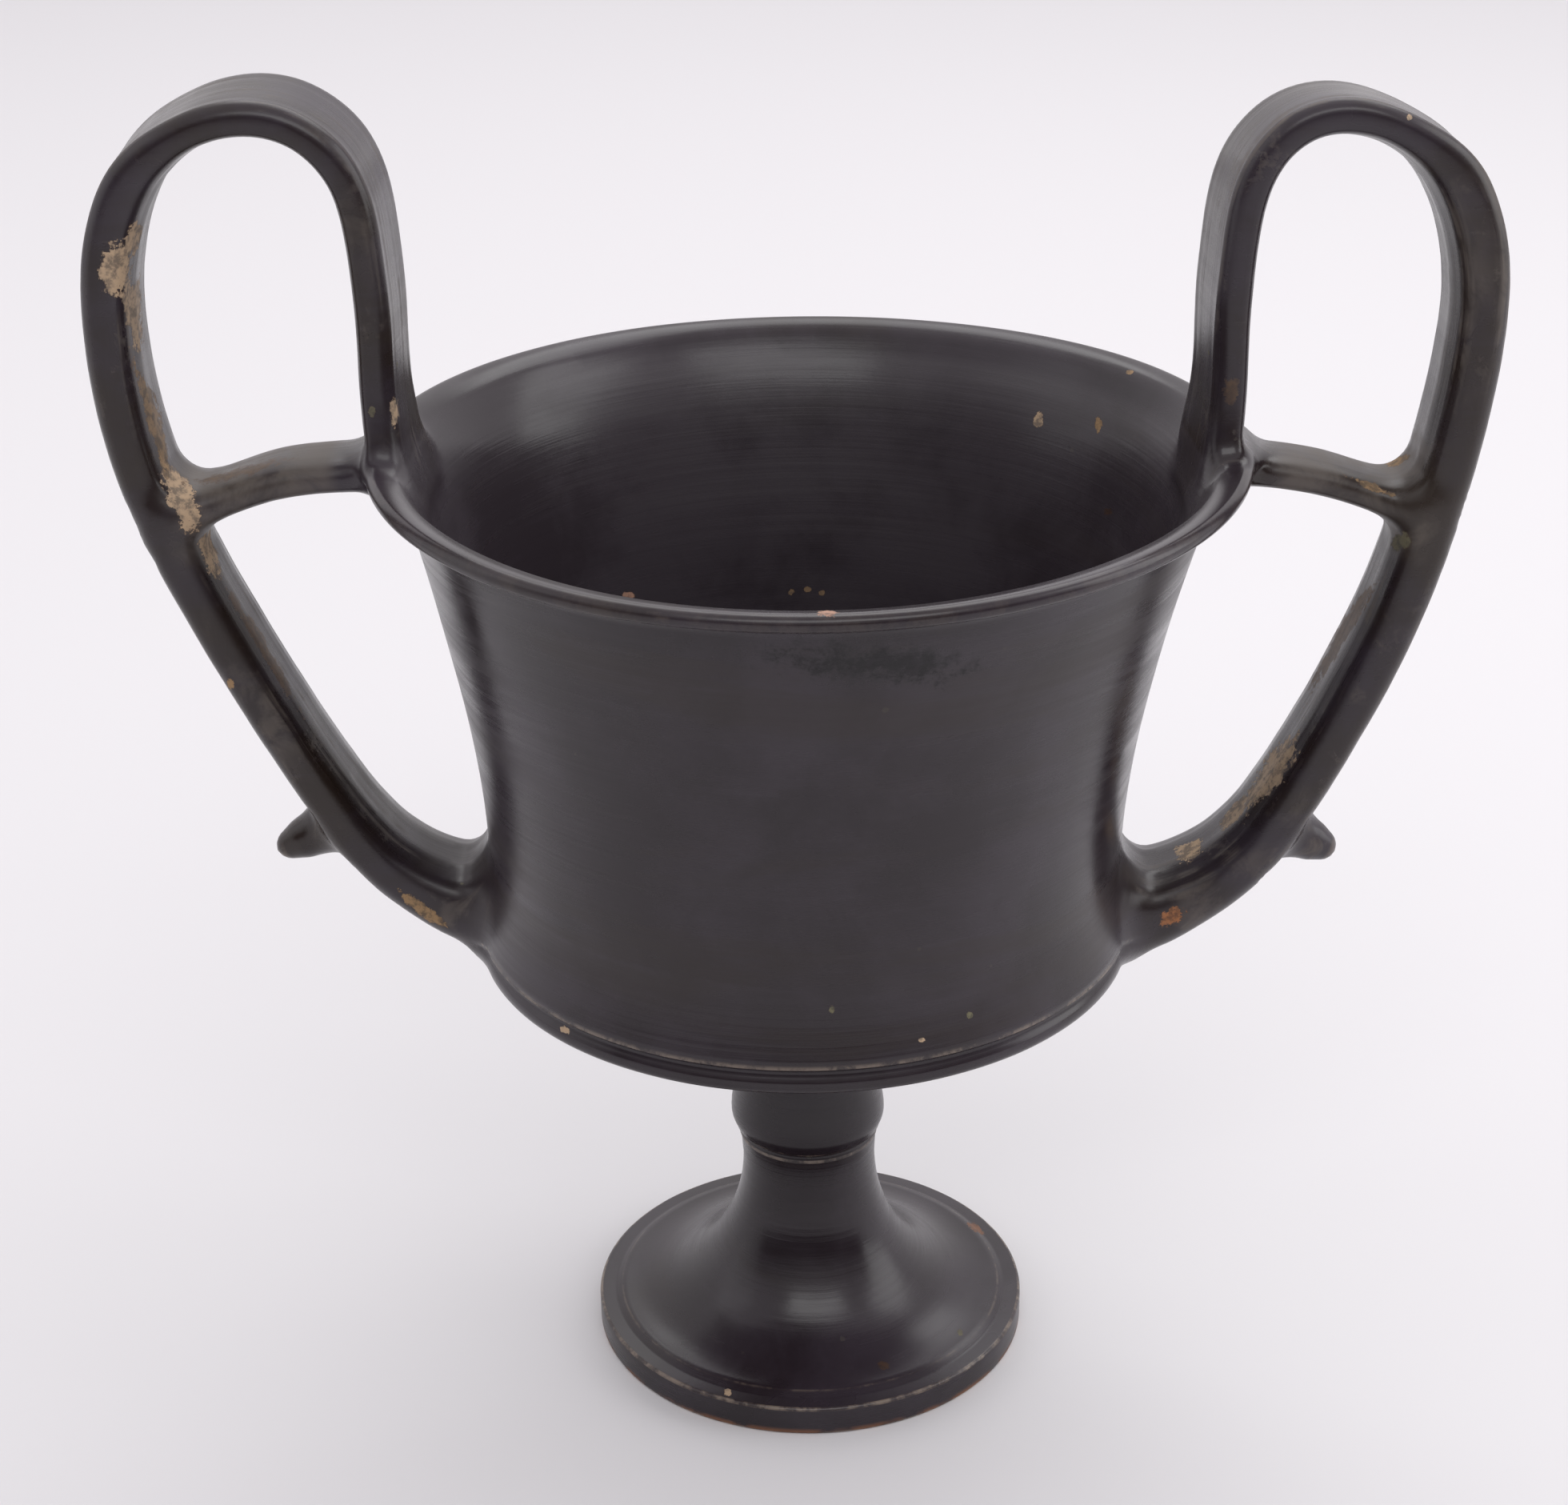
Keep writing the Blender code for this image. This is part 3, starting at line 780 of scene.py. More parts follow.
    def strut_path(self, strap: Sequence[tuple[float, ...]]) -> list[tuple[float, ...]]:
        """Flat bar from the lip to the strap's back leg, spreading at both ends."""
        cup = self.cup
        rim_z = cup.rim_height - self.strut_below_lip - self.strut_thickness / 2.0
        back_z = rim_z - self.strut_back_drop
        back_x = self.point_on(strap, back_z)[0]
        lip_x = cup.rim_radius - cup.lip_thickness
        run = back_x - self.back_thickness / 2.0 - lip_x
        wide = self.strut_width + self.strut_flare
        thick = self.strut_thickness + self.strut_flare
        slope = back_z - rim_z
        arch = self.strut_arch
        bar = (self.strut_thickness, self.strut_width, 0.0, 0.0)
        knots = [
            (lip_x - cup.lip_thickness, rim_z, self.strut_thickness, wide, 0.0, 0.0),
            (lip_x + 0.15 * run, rim_z + 0.05 * slope + 0.4 * arch, *bar),
            (lip_x + 0.50 * run, rim_z + 0.35 * slope + arch, *bar),
            (lip_x + 0.82 * run, rim_z + 0.80 * slope + 0.5 * arch, *bar),
            (lip_x + run, back_z, thick, wide, 0.0, 0.0),
            (back_x, back_z, thick, wide, 0.0, 0.0),
        ]
        return evened(catmull_rom(knots, 16), self.spacing, 0.5 * self.softness)

    def spur_path(self, strap: Sequence[tuple[float, ...]]) -> list[tuple[float, ...]]:
        """Small tapered horn on the strap's lower outer face."""
        place = self.point_on(strap, self.root_height + self.spur_height_over_root)
        slope = math.radians(self.spur_slope_deg)
        start = place[2] / 4.0
        knots = []
        for share in spread(0.0, 1.0, 22):
            taper = float(np.interp(share, *zip(*self.spur_taper)))
            rounding = math.sqrt(max(1.0 - max((share - 0.86) / 0.142, 0.0) ** 2, 0.0))
            wide = 2.0 * max(taper * self.spur_base_radius, self.spur_tip_radius) * rounding
            reach = start + share * self.spur_length
            knots.append((place[0] + reach * math.cos(slope), place[1] - reach * math.sin(slope),
                          wide, wide, 0.0, 0.0))
        return knots

    @staticmethod
    def ring(sides: int, squareness: float, dish: float = 0.0, bead: float = 0.0) -> list[Pair]:
        """Closed section as (across, through) pairs from -1 to 1.

        Args:
            sides: Points in the ring.
            squareness: 2 for an ellipse, more for squarer corners.
            dish: Depth of the hollow along the middle of the outer face.
            bead: Height of the soft ridges along the outer face's edges.

        Returns:
            The pairs, in order round the section.
        """
        pairs = []
        for index in range(sides):
            angle = 2.0 * math.pi * (index + 0.5) / sides
            across = math.copysign(abs(math.cos(angle)) ** (2.0 / squareness), math.cos(angle))
            through = math.copysign(abs(math.sin(angle)) ** (2.0 / squareness), math.sin(angle))
            if through > 0.0:
                through -= dish * math.cos(across * math.pi / 2.0)
                through += bead * math.exp(-((abs(across) - 0.80) / 0.10) ** 2)
            else:
                through += 0.5 * bead * math.cos(across * 3.0 * math.pi) * (1.0 - across ** 2)
            pairs.append((across, through))
        return pairs

    def sweep(self, form: FormTree, name: str, path: Sequence[tuple[float, ...]], ring: Sequence[Pair],
              unevenness: float, material: bpy.types.Material) -> bpy.types.Object:
        """Sweeps a ring along a path.

        Args:
            form: The sweeping tree.
            name: The object's name.
            path: Stations as (x, z, thickness, width, twist, skew) on the right-hand side.
            ring: The section.
            unevenness: Share by which the thickness wanders.
            material: What the bar is made of.

        Returns:
            The closed bar, on this handle's side of the cup.
        """
        side = float(self.hand.value)
        spine = np.array([(side * x, 0.0, z) for x, z, *_ in path])
        along = np.gradient(spine, axis=0)
        along /= np.linalg.norm(along, axis=1)[:, None]
        out = np.stack([-along[:, 2], np.zeros(len(path)), along[:, 0]], axis=1) * side
        values = {
            "spine": spine, "out": out,
            "half_thickness": [station[2] / 2.0 for station in path],
            "half_width": [station[3] / 2.0 for station in path],
            "twist": [station[4] for station in path],
            "skew": [station[5] for station in path],
        }
        section = new_object(name + "_section", chain_mesh(
            name + "_section", [(across, through, 0.0) for across, through in ring], True,
            {"across": [pair[0] for pair in ring], "through": [pair[1] for pair in ring]}))
        bar = form.make(name, chain_mesh(name + "_path", spine, False, values), {
            "Section": section, "Unevenness": unevenness, "Seed": 5.0 + side, "Material": material})
        bpy.data.objects.remove(section)
        return bar

    def build(self, form: FormTree, material: bpy.types.Material) -> dict[str, bpy.types.Object]:
        """Strap, strut and spur as closed meshes that overlap."""
        strap = self.strap_path()
        strap_ring = self.ring(self.strap_sides, self.strap_squareness, self.strap_dish, self.strap_bead)
        strut_ring = self.ring(self.strut_sides, self.strut_squareness)
        bars = {
            "strap": (strap, strap_ring, self.unevenness),
            "strut": (self.strut_path(strap), strut_ring, self.unevenness),
            "spur": (self.spur_path(strap), self.ring(self.spur_sides, 2.0), 0.0),
        }
        return {kind: self.sweep(form, f"{kind}_{self.name}", *parts, material)
                for kind, parts in bars.items()}


@dataclass
class Joining:
    """Joins the closed parts into one skin and softens the creases between them."""

    cup: Cup
    upper_reach: float = 0.0046
    root_reach: float = 0.0064
    upper_start: float = 0.150
    root_stop: float = 0.125
    long_edge: float = 0.0015
    short_edge: float = 0.00045
    rounds: int = 4
    deepest: float = 0.0015
    arms_from: float = 0.055
    lip_band: float = 0.018

    def unite(self, base: bpy.types.Object, parts: Iterable[bpy.types.Object]) -> bpy.types.Mesh:
        """One mesh of the base and the parts, by an exact union."""
        for part in parts:
            union = base.modifiers.new("join_" + part.name, "BOOLEAN")
            union.operation = "UNION"
            union.solver = "EXACT"
            union.object = part
        bpy.context.view_layer.update()
        whole = bpy.data.meshes.new_from_object(base.evaluated_get(bpy.context.evaluated_depsgraph_get()))
        base.modifiers.clear()
        LOG.info("joined skin: %d vertices", len(whole.vertices))
        return whole

    def reach_at(self, place: Vector) -> float:
        """Width of the softened band for a crease near this place."""
        share = min(max((place.z - self.root_stop) / (self.upper_start - self.root_stop), 0.0), 1.0)
        return self.root_reach + (self.upper_reach - self.root_reach) * share

    def hidden_wall(self, place: Vector) -> bool:
        """Whether a place is on the inner wall behind a handle's root, which stays smooth."""
        if place.z > self.cup.rim_height - self.lip_band or place.z < self.cup.keel_height:
            return False
        radius = math.hypot(place.x, place.y)
        height = max(place.z, self.cup.keel_height)
        return radius < self.cup.wall_radius(height) - 0.6 * self.cup.wall_thickness

    def distances(self, place: Vector, trees: Sequence[BVHTree], limit: float) -> list[tuple[float, Vector]]:
        """Signed distance to each surface within a limit, with the way outwards, nearest first."""
        found = []
        for tree in trees:
            spot, normal, _, distance = tree.find_nearest(place, limit)
            if spot is None:
                continue
            gap = place - spot
            inside = gap.dot(normal) < -0.25 * distance and distance < self.deepest
            if distance < 2e-5:
                way = normal
            else:
                way = gap * (-1.0 if inside else 1.0) / distance
            found.append((-distance if inside else distance, way))
        return sorted(found, key=lambda item: item[0])

    def settle(self, place: Vector, trees: Sequence[BVHTree]) -> Vector:
        """Where a point near a crease goes on the softened skin."""
        reach = self.reach_at(place)
        near = self.distances(place, trees, 2.0 * reach)
        if not near:
            return place
        low, low_way = near[0]
        if len(near) == 1 or near[1][0] - low >= reach:
            return place - low_way * low
        high, high_way = near[1]
        overlap = (reach - (high - low)) / reach
        value = low - overlap ** 2 * reach / 4.0
        slope = low_way * (1.0 - overlap / 2.0) + high_way * (overlap / 2.0)
        return place - slope * (value / max(slope.length_squared, 0.3))

    def zone(self, shape: bmesh.types.BMesh, trees: Sequence[BVHTree]) -> dict[bmesh.types.BMVert, None]:
        """Vertices within a softened band's reach of a crease, in their own order."""
        found = {}
        for vertex in shape.verts:
            if abs(vertex.co.x) < self.arms_from or self.hidden_wall(vertex.co):
                continue
            reach = 1.15 * self.reach_at(vertex.co)
            near = self.distances(vertex.co, trees, reach)
            if len(near) > 1:
                found[vertex] = None
        return found

    @staticmethod
    def inner_edges(shape: bmesh.types.BMesh,
                    zone: dict[bmesh.types.BMVert, None]) -> list[bmesh.types.BMEdge]:
        """Edges with both ends in the zone."""
        return [edge for edge in shape.edges if edge.verts[0] in zone and edge.verts[1] in zone]

    @staticmethod
    def halve(shape: bmesh.types.BMesh, edges: Sequence[bmesh.types.BMEdge]) -> None:
        """Splits edges in two, with triangles round them."""
        bmesh.ops.subdivide_edges(shape, edges=edges, cuts=1)
        bmesh.ops.triangulate(shape, faces=[face for face in shape.faces if len(face.verts) > 4])

    @staticmethod
    def collapse(shape: bmesh.types.BMesh, edges: Sequence[bmesh.types.BMEdge]) -> None:
        """Collapses edges that don't touch each other, where the skin stays closed."""
        touched: set[bmesh.types.BMVert] = set()
        chosen = []
        for edge in edges:
            first, second = edge.verts
            around = {link.other_vert(first) for link in first.link_edges}
            beyond = {link.other_vert(second) for link in second.link_edges}
            if len(around & beyond) == 2 and touched.isdisjoint(around | beyond):
                touched |= around | beyond
                chosen.append(edge)
        bmesh.ops.collapse(shape, edges=chosen)

    def soften(self, mesh: bpy.types.Mesh, trees: Sequence[BVHTree]) -> None:
        """Fills the creases of the joined skin with a soft fillet.

        Each round evens out the triangles near the creases and lays their corners on the softened skin.

        Args:
            mesh: The joined skin, changed in place.
            trees: Search trees of the closed parts that it was joined from.
        """
        shape = bmesh.new()
        shape.from_mesh(mesh)
        for turn in range(self.rounds):
            zone = self.zone(shape, trees)
            if turn < self.rounds - 1:
                self.halve(shape, [edge for edge in self.inner_edges(shape, zone)
                                   if edge.calc_length() > self.long_edge])
                zone = self.zone(shape, trees)
                faces = {face: None for vertex in zone for face in vertex.link_faces if len(face.verts) > 3}
                bmesh.ops.triangulate(shape, faces=list(faces))
                for _ in range(3):
                    self.collapse(shape, [edge for edge in self.inner_edges(shape, zone)
                                          if edge.calc_length() < self.short_edge])
                    zone = {vertex: None for vertex in zone if vertex.is_valid}
            inner = self.inner_edges(shape, zone)
            faces = {face: None for edge in inner for face in edge.link_faces if len(face.verts) == 3}
            bmesh.ops.beautify_fill(shape, faces=list(faces), edges=inner, method="ANGLE")
            for _ in range(3):
                bmesh.ops.smooth_vert(shape, verts=list(zone), factor=0.5, use_axis_x=True, use_axis_y=True,
                                      use_axis_z=True)
                for _ in range(2):
                    for vertex in zone:
                        vertex.co = self.settle(vertex.co, trees)
            LOG.info("softening round %d: %d vertices near the joins", turn, len(zone))
        bmesh.ops.triangulate(shape, faces=shape.faces)
        self.close(shape)
        shape.to_mesh(mesh)
        shape.free()

    @staticmethod
    def close(shape: bmesh.types.BMesh) -> None:
        """Collapses the few edges that more or fewer than two faces share."""
        for _ in range(6):
            wrong = [edge for edge in shape.edges if len(edge.link_faces) != 2]
            LOG.info("edges to close: %d", len(wrong))
            if not wrong:
                break
            bmesh.ops.collapse(shape, edges=wrong)


@dataclass
class PhotoCamera:
    """The photograph's camera, as worked out from the circles of the lip, the keel and the foot."""

    back: float = 0.52499
    up: float = 0.37288
    pitch: float = 0.4363
    yaw: float = -0.0081
    roll: float = 0.0111
    focal_px: float = 3759.2
    sensor_mm: float = 36.0

    def axes(self) -> tuple[Vector, Vector, Vector]:
        """Right, up and forward directions."""
        forward = Vector((math.sin(self.yaw) * math.cos(self.pitch),
                          math.cos(self.yaw) * math.cos(self.pitch), -math.sin(self.pitch)))
        level = Vector((math.cos(self.yaw), -math.sin(self.yaw), 0.0))
        rise = level.cross(forward)
        right = level * math.cos(self.roll) - rise * math.sin(self.roll)
        upward = level * math.sin(self.roll) + rise * math.cos(self.roll)
        return right, upward, forward

    @property
    def place(self) -> Vector:
        """The camera's own place."""
        return Vector((0.0, -self.back, self.up))

    def turn(self) -> Matrix:
        """Rotation from the camera's axes to the world's."""
        right, upward, forward = self.axes()
        return Matrix((right, upward, -forward)).transposed()

    def ray(self, pixel: Pair) -> Vector:
        """Direction from the camera through a pixel of the photograph."""
        right, upward, forward = self.axes()
        across = (pixel[0] - IMAGE_WIDTH / 2.0) / self.focal_px
        above = (IMAGE_HEIGHT / 2.0 - pixel[1]) / self.focal_px
        return (forward + right * across + upward * above).normalized()

    def build(self) -> bpy.types.Object:
        """Makes it the scene's camera."""
        lens = bpy.data.cameras.new("photo_camera")
        lens.sensor_width = self.sensor_mm
        lens.lens = self.focal_px / IMAGE_WIDTH * self.sensor_mm
        lens.clip_start = 0.01
        camera = bpy.data.objects.new("photo_camera", lens)
        camera.matrix_world = Matrix.Translation(self.place) @ self.turn().to_4x4()
        bpy.context.scene.collection.objects.link(camera)
        bpy.context.scene.camera = camera
        return camera


@dataclass(frozen=True)
class Mark:
    """A chip, spot or worn patch, placed by the photograph's pixel where its middle shows.

    half_width and half_height are in the photograph's pixels, and tilt_deg turns them clockwise.
    """

    name: str
    tone: Tone
    pixel: Pair
    half_width: float
    half_height: float
    tilt_deg: float = 0.0
    strength: float = 1.0
    crispness: float = 0.22


MARKS = (
    Mark("left_back_leg_patch", Tone.BUFF, (146, 336), 19, 32, 8),
    Mark("left_back_leg_fleck", Tone.BUFF, (166, 300), 6, 26, 12, 0.9),
    Mark("left_back_leg_strip", Tone.BUFF, (166, 385), 6, 62, -3, 0.75),
    Mark("left_back_leg_line", Tone.OCHRE, (190, 520), 4, 70, -12, 0.7),
    Mark("left_strut_corner", Tone.BUFF, (226, 618), 16, 42, -16),
    Mark("left_strut_dust", Tone.OCHRE, (300, 590), 60, 9, -14, 0.5, 0.7),
    Mark("left_below_strut", Tone.BUFF, (260, 684), 12, 32, -16),
    Mark("left_lower_line", Tone.OCHRE, (330, 812), 4, 80, -28, 0.45),
    Mark("left_lower_spot", Tone.OCHRE, (288, 855), 5, 6),
    Mark("left_root_scrape", Tone.OCHRE, (528, 1136), 32, 7, 40),
    Mark("right_inner_strip", Tone.BUFF, (1588, 966), 13, 62, 38, 0.85),
    Mark("right_inner_strip_low", Tone.BUFF, (1548, 1012), 8, 30, 45, 0.8),
    Mark("right_inner_line", Tone.OCHRE, (1680, 790), 4, 90, 26, 0.5),
    Mark("right_root_chip", Tone.BUFF, (1486, 1064), 15, 17, 20),
    Mark("right_root_orange", Tone.ORANGE, (1466, 1146), 15, 11, -30),
    Mark("right_strut_corner", Tone.OCHRE, (1714, 608), 24, 5, 22, 0.9),
    Mark("right_strut_top", Tone.OCHRE, (1746, 576), 14, 5, -25, 0.8),
    Mark("right_green_spot", Tone.GREENISH, (1750, 676), 12, 10, 0, 0.8),
    Mark("right_top_spot", Tone.BUFF, (1762, 147), 3, 3),
    Mark("rim_chip", Tone.PINK, (1036, 766), 13, 6, 0),
    Mark("rim_spot", Tone.PINK, (785, 744), 6, 4),
    Mark("inside_spot_a", Tone.BUFF, (1298, 526), 6, 10),
    Mark("inside_spot_b", Tone.OCHRE, (1373, 531), 4, 9),
    Mark("inside_spot_c", Tone.OCHRE, (1412, 465), 4, 3),
    Mark("inside_spot_e", Tone.UMBER, (1385, 640), 4, 4),
    Mark("inside_low_a", Tone.OCHRE, (989, 740), 4, 4, 0, 0.8),
    Mark("inside_low_b", Tone.OCHRE, (1009, 737), 4, 3, 0, 0.7),
    Mark("inside_low_c", Tone.OCHRE, (1028, 741), 4, 3, 0, 0.7),
    Mark("keel_chip", Tone.BUFF, (706, 1287), 7, 4, 25),
    Mark("keel_spot_a", Tone.GREENISH, (1040, 1262), 4, 5),
    Mark("keel_spot_b", Tone.BUFF, (1152, 1300), 4, 3),
    Mark("keel_spot_c", Tone.GREENISH, (1212, 1268), 4, 4),
    Mark("foot_brown", Tone.ORANGE, (1220, 1535), 10, 4, 35, 0.6),
    Mark("foot_pit", Tone.UMBER, (1105, 1705), 6, 4),
    Mark("foot_spot_a", Tone.BUFF, (910, 1740), 4, 3, 0, 0.8),
    Mark("foot_spot_b", Tone.GREENISH, (1200, 1665), 4, 3, 0, 0.8),
    Mark("left_leg_chip", Tone.BUFF, (493, 514), 4, 15, 0, 0.9),
    Mark("left_leg_green", Tone.GREENISH, (465, 514), 4, 6, 0, 0.7),
    Mark("right_leg_brown", Tone.OCHRE, (1540, 490), 10, 14, 0, 0.45, 0.6),
    Mark("dark_brushed_patch", Tone.SOOT, (1110, 830), 170, 28, 3, 0.9, 0.9),
)


@dataclass(frozen=True)
class SkinNoises:
    """Shares and noises over the skin that the finish is mixed from."""

    place: Wire
    handle: Wire
    inside: Wire
    edge: Wire
    height: Wire
    aside: Wire
    brush: Wire
    strap_lines: Wire
    streaks: Wire
    clouds: Wire
    bands: Wire
    patches: Wire
    grain: Wire
    fine: Wire


@dataclass(frozen=True)
class SlipFinish:
    """Black slip over buff clay: satin, streaked by the brush and the wheel, worn at its edges."""

    slip: Colour = (0.0160, 0.0105, 0.0138)
    slip_brown: Colour = (0.021, 0.0135, 0.0100)
    slip_grey: Colour = (0.0310, 0.0235, 0.0310)
    inner_film: Colour = (0.050, 0.042, 0.049)
    worn_edge: Colour = (0.240, 0.190, 0.150)
    dusty: Colour = (0.175, 0.148, 0.124)
    roughness: float = 0.27
    specular: float = 0.45
    bump_strength: float = 0.22
    bump_depth: float = 0.0004
    wheel_scale: Triple = (9.0, 9.0, 900.0)
    brush_scale: Triple = (24.0, 24.0, 420.0)
    strap_scale: Triple = (22.0, 700.0, 22.0)
    band_scale: Triple = (9.0, 9.0, 60.0)
    dust_low: Pair = (0.168, 0.176)
    dust_high: Pair = (0.198, 0.191)
    dust_near: Pair = (0.084, 0.088)
    dust_past_rim: Pair = (0.036, 0.030)
    standing_band: Pair = (0.0016, 0.0004)
    speck_scale: float = 150.0
    mark_least_depth: float = 0.0040
    mark_most_depth: float = 0.010
    mark_edge: float = 1.12

    def noises(self, board: Board) -> SkinNoises:
        """Makes the shares and noises. The height is along Z and the distance aside along X."""
        place = board.add("ShaderNodeTexCoord", output="Object")
        handle = board.add("ShaderNodeAttribute", {"attribute_name": "handle_share"}, {}, "Fac")
        inside = board.add("ShaderNodeAttribute", {"attribute_name": "inside_share"}, {}, "Fac")
        edge = board.add("ShaderNodeAttribute", {"attribute_name": "edge_share"}, {}, "Fac")
        height = board.add("ShaderNodeSeparateXYZ", {}, {"Vector": place}, "Z")
        aside = abs(board.add("ShaderNodeSeparateXYZ", {}, {"Vector": place}, "X"))
        wheel = board.noise(board.stretch(place, self.wheel_scale), 1.0, 4.0, 0.6)
        brush = board.noise(board.stretch(place, self.brush_scale, (3.1, 0.4, 0.0)), 1.0, 3.0, 0.55, 0.4)
        strap_lines = board.noise(board.stretch(place, self.strap_scale), 1.0, 3.0, 0.6)
        return SkinNoises(
            place=place, handle=handle, inside=inside, edge=edge, height=height, aside=aside,
            brush=brush, strap_lines=strap_lines,
            streaks=wheel * (1.0 - handle) + strap_lines * handle,
            clouds=board.noise(place, 26.0, 5.0, 0.6, 0.3),
            bands=board.noise(board.stretch(place, self.band_scale, (1.7, 2.2, 0.0)), 1.0, 5.0, 0.65, 0.8),
            patches=board.noise(place, 75.0, 5.0, 0.65, 0.6),
            grain=board.noise(place, 900.0, 2.0, 0.6),
            fine=board.noise(place, 520.0, 4.0, 0.7))

    def slip_colour(self, board: Board, over: SkinNoises, cup: Cup) -> tuple[Wire, Wire]:
        """Colour of the clouded and brushed slip under its dust, and where that dusty film lies."""
        strut = over.height.step(*self.dust_low) * over.height.step(*self.dust_high)
        strut = strut * over.aside.step(*self.dust_near)
        strut = strut * over.aside.step(*(cup.rim_radius + past for past in self.dust_past_rim))
        clouds, patches = over.clouds, over.patches
        colour = board.blend(clouds.step(0.36, 0.66), opaque(self.slip), opaque(self.slip_grey))
        colour = board.blend(over.handle * clouds.step(0.62, 0.36), colour, opaque(self.slip_brown))
        colour = board.blend(over.bands.step(0.50, 0.68) * 0.4, colour, opaque(self.slip_brown))
        brushed = over.brush.step(0.50, 0.80) * patches.step(0.40, 0.62) * 0.6
        colour = board.blend(brushed, colour, opaque(self.slip_grey))
        filmed = over.inside * (0.45 + 0.5 * clouds.step(0.40, 0.62))
        colour = board.blend(filmed, colour, opaque(self.inner_film))
        film = (over.handle * over.strap_lines.step(0.50, 0.70) * patches.step(0.44, 0.62) * 0.75).most(
            strut * (0.15 + 0.65 * patches.step(0.38, 0.62)))
        film = film.most(over.handle * patches.step(0.56, 0.68) * over.fine.step(0.44, 0.58) * 0.42)
        return board.blend(film * 0.58, colour, opaque(self.dusty)), film

    def worn(self, board: Board, over: SkinNoises, colour: Wire) -> tuple[Wire, Wire]:
        """The colour with its sharp edges and its standing ring worn, and where the ring is."""
        wear = over.edge.step(0.25, 0.60)
        wear = wear * (board.noise(over.place, 170.0, 5.0, 0.75).step(0.42, 0.60) * 0.9 + 0.1)
        colour = board.blend(wear * 0.7, colour, opaque(self.worn_edge))
        standing = over.height.step(*self.standing_band)
        standing = standing * board.noise(over.place, 120.0, 3.0, 0.6).step(0.34, 0.56)
        return board.blend(standing * 0.55, colour, opaque(Tone.ORANGE.value)), standing

    def marked(self, board: Board, over: SkinNoises, colour: Wire, standing: Wire, camera: PhotoCamera,
               surface: BVHTree) -> tuple[Wire, Wire, Any]:
        """The colour with the marks laid on, where the clay is bare, and where the slip is dull."""
        torn = (board.noise(over.place, 330.0, 4.0, 0.75) - 0.5) * 2.6
        frayed = (board.noise(over.place, 1500.0, 3.0, 0.7) - 0.5) * 0.9
        ragged = torn + frayed
        bare = standing * 0.6
        dull: Any = 0.0
        for tone in Tone:
            mask = self.marks_of(board, over.place, camera, surface, tone, ragged)
            if mask is None:
                continue
            mottled = board.blend(over.fine.step(0.40, 0.66), opaque(tone.value), opaque(tone.stained))
            colour = board.blend(mask * (0.6 + 0.4 * over.fine.step(0.62, 0.44)), colour, mottled)
            if tone.chipped:
                rim = mask.step(0.0, 0.15) * mask.step(0.75, 0.45) * 0.6
                colour = board.blend(rim, colour, opaque(Tone.UMBER.value))
                bare = bare.most(mask)
            if tone is Tone.SOOT:
                dull = mask
        return colour, bare, dull

    def speckled(self, board: Board, over: SkinNoises, colour: Wire) -> tuple[Wire, Wire]:
        """The colour with its small pale specks, more of them on the handles, and where they are."""
        cells = {"Vector": over.place, "Scale": self.speck_scale}
        specks = board.add("ShaderNodeTexVoronoi", {"feature": "F1"}, cells)
        tint = board.add("ShaderNodeTexVoronoi", {"feature": "F1"}, cells, "Color")
        chosen = board.add("ShaderNodeSeparateColor", {}, {"Color": tint}, "Red").step(0.955, 0.965)
        size = board.add("ShaderNodeSeparateColor", {}, {"Color": tint}, "Green")
        speck = (specks + (over.fine - 0.5) * 0.12 - size * 0.05).step(0.075, 0.045)
        speck = speck * chosen * (0.10 + 0.55 * over.handle)
        return board.blend(speck, colour, opaque(Tone.GREENISH.value)), speck

    def dress(self, board: Board, end: Wire, camera: PhotoCamera, surface: BVHTree, cup: Cup) -> None:
        """Builds the shader.

        The marks are kept out of the relief, because a bump's height is worked out several times over.

        Args:
            board: The material's nodes.
            end: The output node's surface input.
            camera: The camera that the marks' pixels belong to.
            surface: Search tree of the finished skin.
            cup: Sizes of the cup.
        """
        over = self.noises(board)
        colour, film = self.slip_colour(board, over, cup)
        colour, standing = self.worn(board, over, colour)
        colour, bare, dull = self.marked(board, over, colour, standing, camera, surface)
        colour, speck = self.speckled(board, over, colour)
        bare = bare.most(speck)
        rough = self.roughness + (over.streaks - 0.5) * 0.20 + (over.clouds - 0.5) * 0.22
        rough = rough + (over.bands - 0.5) * 0.40 + film * 0.3
        rough = (rough + dull * 0.35 + bare * 0.45).most(0.12).least(0.9)
        relief = over.streaks * 0.5 + over.brush * 0.35 + over.grain * 0.12
        bump = board.add("ShaderNodeBump", {}, {
            "Strength": self.bump_strength, "Distance": self.bump_depth, "Height": relief}, "Normal")
        shader = board.add("ShaderNodeBsdfPrincipled", {}, {
            "Base Color": colour, "Roughness": rough, "Metallic": 0.0, "Normal": bump,
            "Specular IOR Level": self.specular})
        board.feed(end.socket, shader)

